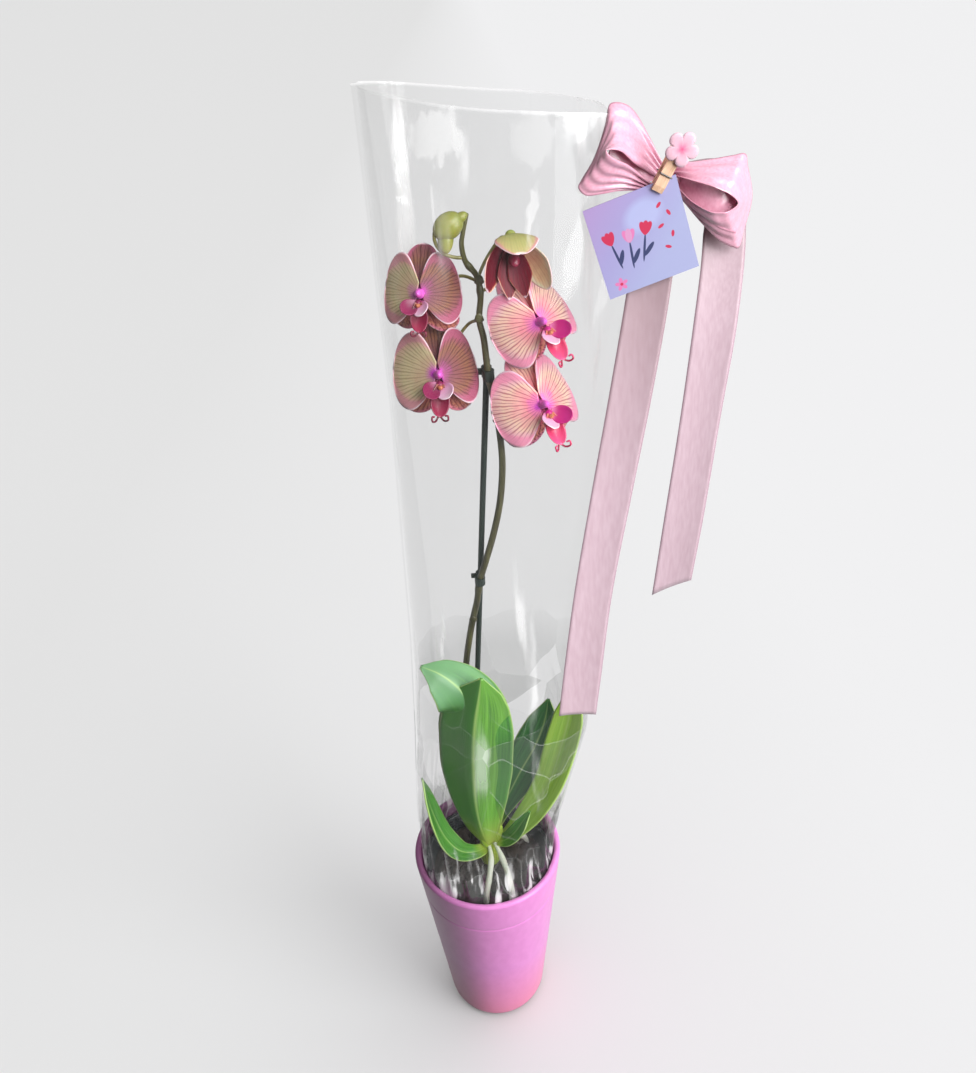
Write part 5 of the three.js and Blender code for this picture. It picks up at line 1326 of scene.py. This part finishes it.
def blot(under, ink, middle, half, turn=0.0, blur=0.12):
    """An oval of ink printed over what is under it, with its middle and half sizes in millimetres."""
    oval = add(tree, "Mapping", {
        "Vector": on_card, "Location": (*mm(*middle), 0.0), "Rotation": (0.0, 0.0, math.radians(turn)),
        "Scale": (*mm(*half), 1.0)}, vector_type="TEXTURE")
    reach = add(tree, "VectorMath", [oval], operation="LENGTH")
    inked = add(tree, "MapRange", [reach, 1 - blur, 1.0, 1.0, 0.0])
    return add(tree, "Mix", [inked, under, shade(INKS[ink])], data_type="RGBA")


def beside(point, distance, turn):
    """A point at a distance from another, along a direction in degrees."""
    way = math.radians(turn)
    return point[0] + distance * math.cos(way), point[1] + distance * math.sin(way)


# A soft cloud, the tulips with a stem, a leaf and three petals each, the scattered petals and the flower.
printed = blot(printed, "mist", (4, 12), (13, 10), 20, 0.4)
for foot, turn, ink in (((-14, -11), 99, "crimson"), ((-8, -13), 84, "pink"), ((-2, -11.5), 72, "crimson")):
    top, middle = beside(foot, 15, turn), beside(foot, 7, turn)
    printed = blot(printed, "navy", middle, (8, 0.7), turn)
    printed = blot(printed, "navy", (middle[0] + 2.2, middle[1] - 1.5), (4.6, 1.3), turn - 32)
    for spread, petal_ink in ((-26, ink), (26, ink), (0, "rose" if ink == "pink" else "crimson")):
        printed = blot(printed, petal_ink, beside(top, 2.6, turn + spread), (4.0, 1.9), turn + spread)
for x, y, turn in ((13, 14, 40), (17, 8.5, 110), (11.5, 3, 20), (16.5, -3, 75), (12.5, -9, 150)):
    printed = blot(printed, "crimson", (x, y), (1.9, 0.9), turn)
FLOWER = (-17, -19.5)
for turn in range(18, 360, 72):
    printed = blot(printed, "pink", beside(FLOWER, 2.1, turn), (1.7, 1.1), turn)
printed = blot(printed, "crimson", FLOWER, (0.9, 0.9))
fibre = add(tree, "TexNoise", {"Scale": 1800.0, "Detail": 2.0})
bump = add(tree, "Bump", {"Strength": 0.08, "Distance": 0.0001, "Height": fibre})
feed(shader, {"Base Color": printed, "Normal": bump})
finish_node("card", card_stock)

# ---------------------------------------------------------------- peg
# A miniature clothes peg: two levers cut from birch, held shut by a coiled steel spring whose ends
# lie across their backs.

# The spring's middle and the lean to the right, then the sizes through the peg: half the gap in the
# mouth, a lever, the clearance over it, and the radius of the wire.
PEG = "peg_front_lever"
PEG_MIDDLE, PEG_LEAN = (121.4, -33, 765.1), 28
HALF_MOUTH, LEVER, CLEARANCE, WIRE = 0.6, 3, 0.3, 0.45
peg_frame = moved(PEG_MIDDLE, PEG_LEAN)

# Planed birch: pale and close-grained, left bare. The grain is 0.9 mm wide and 12 mm long, and runs
# along the lever.
birch, tree, shader = surface("planed_birch", {"Roughness": 0.62, "IOR": 1.5})
grain_way = add(tree, "Mapping", {
    "Vector": add(tree, "TexCoord").outputs["Object"], "Rotation": (0.0, math.radians(PEG_LEAN), 0.0),
    "Scale": tuple(mm(0.9, 0.9, 12))}, vector_type="TEXTURE")
grain = add(tree, "TexNoise", {"Vector": grain_way, "Scale": 1.0, "Detail": 4.0})
tan = add(tree, "ValToRGB", [grain], [(0.3, "C49A7C"), (0.72, "DDB99C")])
bump = add(tree, "Bump", {"Strength": 0.2, "Distance": 0.0002, "Height": grain})
feed(shader, {"Base Color": tan, "Normal": bump})
for name in ("peg_lever_front", "peg_lever_back"):
    finish_node(name, birch, mm(0.22), 3)

# Drawn spring steel: grey and bright, with fine lines along the wire.
steel, tree, shader = surface("drawn_spring_steel", {"Metallic": 1.0, "Roughness": 0.32})
drawn = add(tree, "TexNoise", {"Scale": 2500.0, "Detail": 2.0})
grey = add(tree, "ValToRGB", [drawn], [(0.3, "4A4644"), (0.7, "7C7876")])
feed(shader, {"Base Color": grey})

COIL_TURNS, COIL_LENGTH, COIL_RADIUS, COIL_WIRE = 4, 2.9, 1.12, 0.36
turns = np.linspace(0, COIL_TURNS * 2 * math.pi, COIL_TURNS * 12)
helix = np.stack([(turns / turns[-1] - 0.5) * COIL_LENGTH, COIL_RADIUS * np.cos(turns),
                  COIL_RADIUS * np.sin(turns)], 1)
coil = rod(mm(helix), mm(COIL_WIRE), COIL_TURNS * 24, 10)
place("peg_spring_coil", set_in([coil], peg_frame), [steel], "spring_steel", ["peg_spring"])
for side, node, body in ((-1, "peg_wire_front", PEG), (1, "peg_wire_back", PLANT)):
    across = side * (HALF_MOUTH + LEVER + CLEARANCE + WIRE)
    wire = rod(mm([[x, across, 0] for x in (-3.5, 0, 3.5)]), mm(0.42), 12, 14)
    place(node + "_end", set_in([wire], peg_frame), [steel], "spring_steel", [node], body=body)

# ---------------------------------------------------------------- peg flower
# A little flower with five petals, pressed from pink wool felt with a domed middle. It is glued on
# the handle of the peg's front lever.

CHARM_RADIUS, CHARM_SPOT, HANDLE_FLARE = 8.8, (0.3, 14.5), 1.4
# Each ring's share of the outline and its height over the back, from the middle of the face round to
# the middle of the back.
rings = [(0.0, 1.4), (0.12, 1.3), (0.3, 1.15), (0.55, 1.5), (0.8, 1.35), (0.94, 0.95), (1.0, 0.45),
         (0.96, 0.08), (0.7, 0.0), (0.0, 0.0)]
turn = circle(120)
outline = CHARM_RADIUS * (0.6 + 0.4 * np.sqrt(np.abs(np.cos(2.5 * (turn + math.pi / 2)))))
charm_grid = np.stack([
    np.stack([share * outline * np.cos(turn), 0 * turn - height, share * outline * np.sin(turn)], -1)
    for share, height in rings])
behind = HALF_MOUTH + LEVER + HANDLE_FLARE + CLEARANCE
charm_frame = peg_frame @ Matrix.Translation(mm(CHARM_SPOT[0], -behind, CHARM_SPOT[1])) @ Matrix.Rotation(
    math.radians(-PEG_LEAN), 4, "Y")
charm = {"grid": carried(charm_grid * 0.001, charm_frame), "closed": True}

# Pressed wool felt, pale pink, dyed darker round its middle.
felt, tree, shader = surface("pressed_pink_felt", {"Roughness": 0.85, "Sheen Weight": 0.3})
reach = sheet_shares(tree)[0]
fuzz = add(tree, "TexNoise", {"Scale": 1400.0, "Detail": 3.0})
tone = add(tree, "Math", [fuzz, 0.1, reach], operation="MULTIPLY_ADD")
dyed = add(tree, "ValToRGB", [tone], [(0.05, "D04878"), (0.2, "DC7898"), (0.34, "DAA4B6"), (0.6, "D6B0BE")])
bump = add(tree, "Bump", {"Strength": 0.4, "Distance": 0.0003, "Height": fuzz})
feed(shader, {"Base Color": dyed, "Normal": bump})
place("peg_flower_felt", [charm], [felt], "pink_felt", ["peg_flower"], body=PEG)

# ---------------------------------------------------------------- sizes and finish
# The box round every shown piece of the scene, apart from the floor.

low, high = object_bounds()
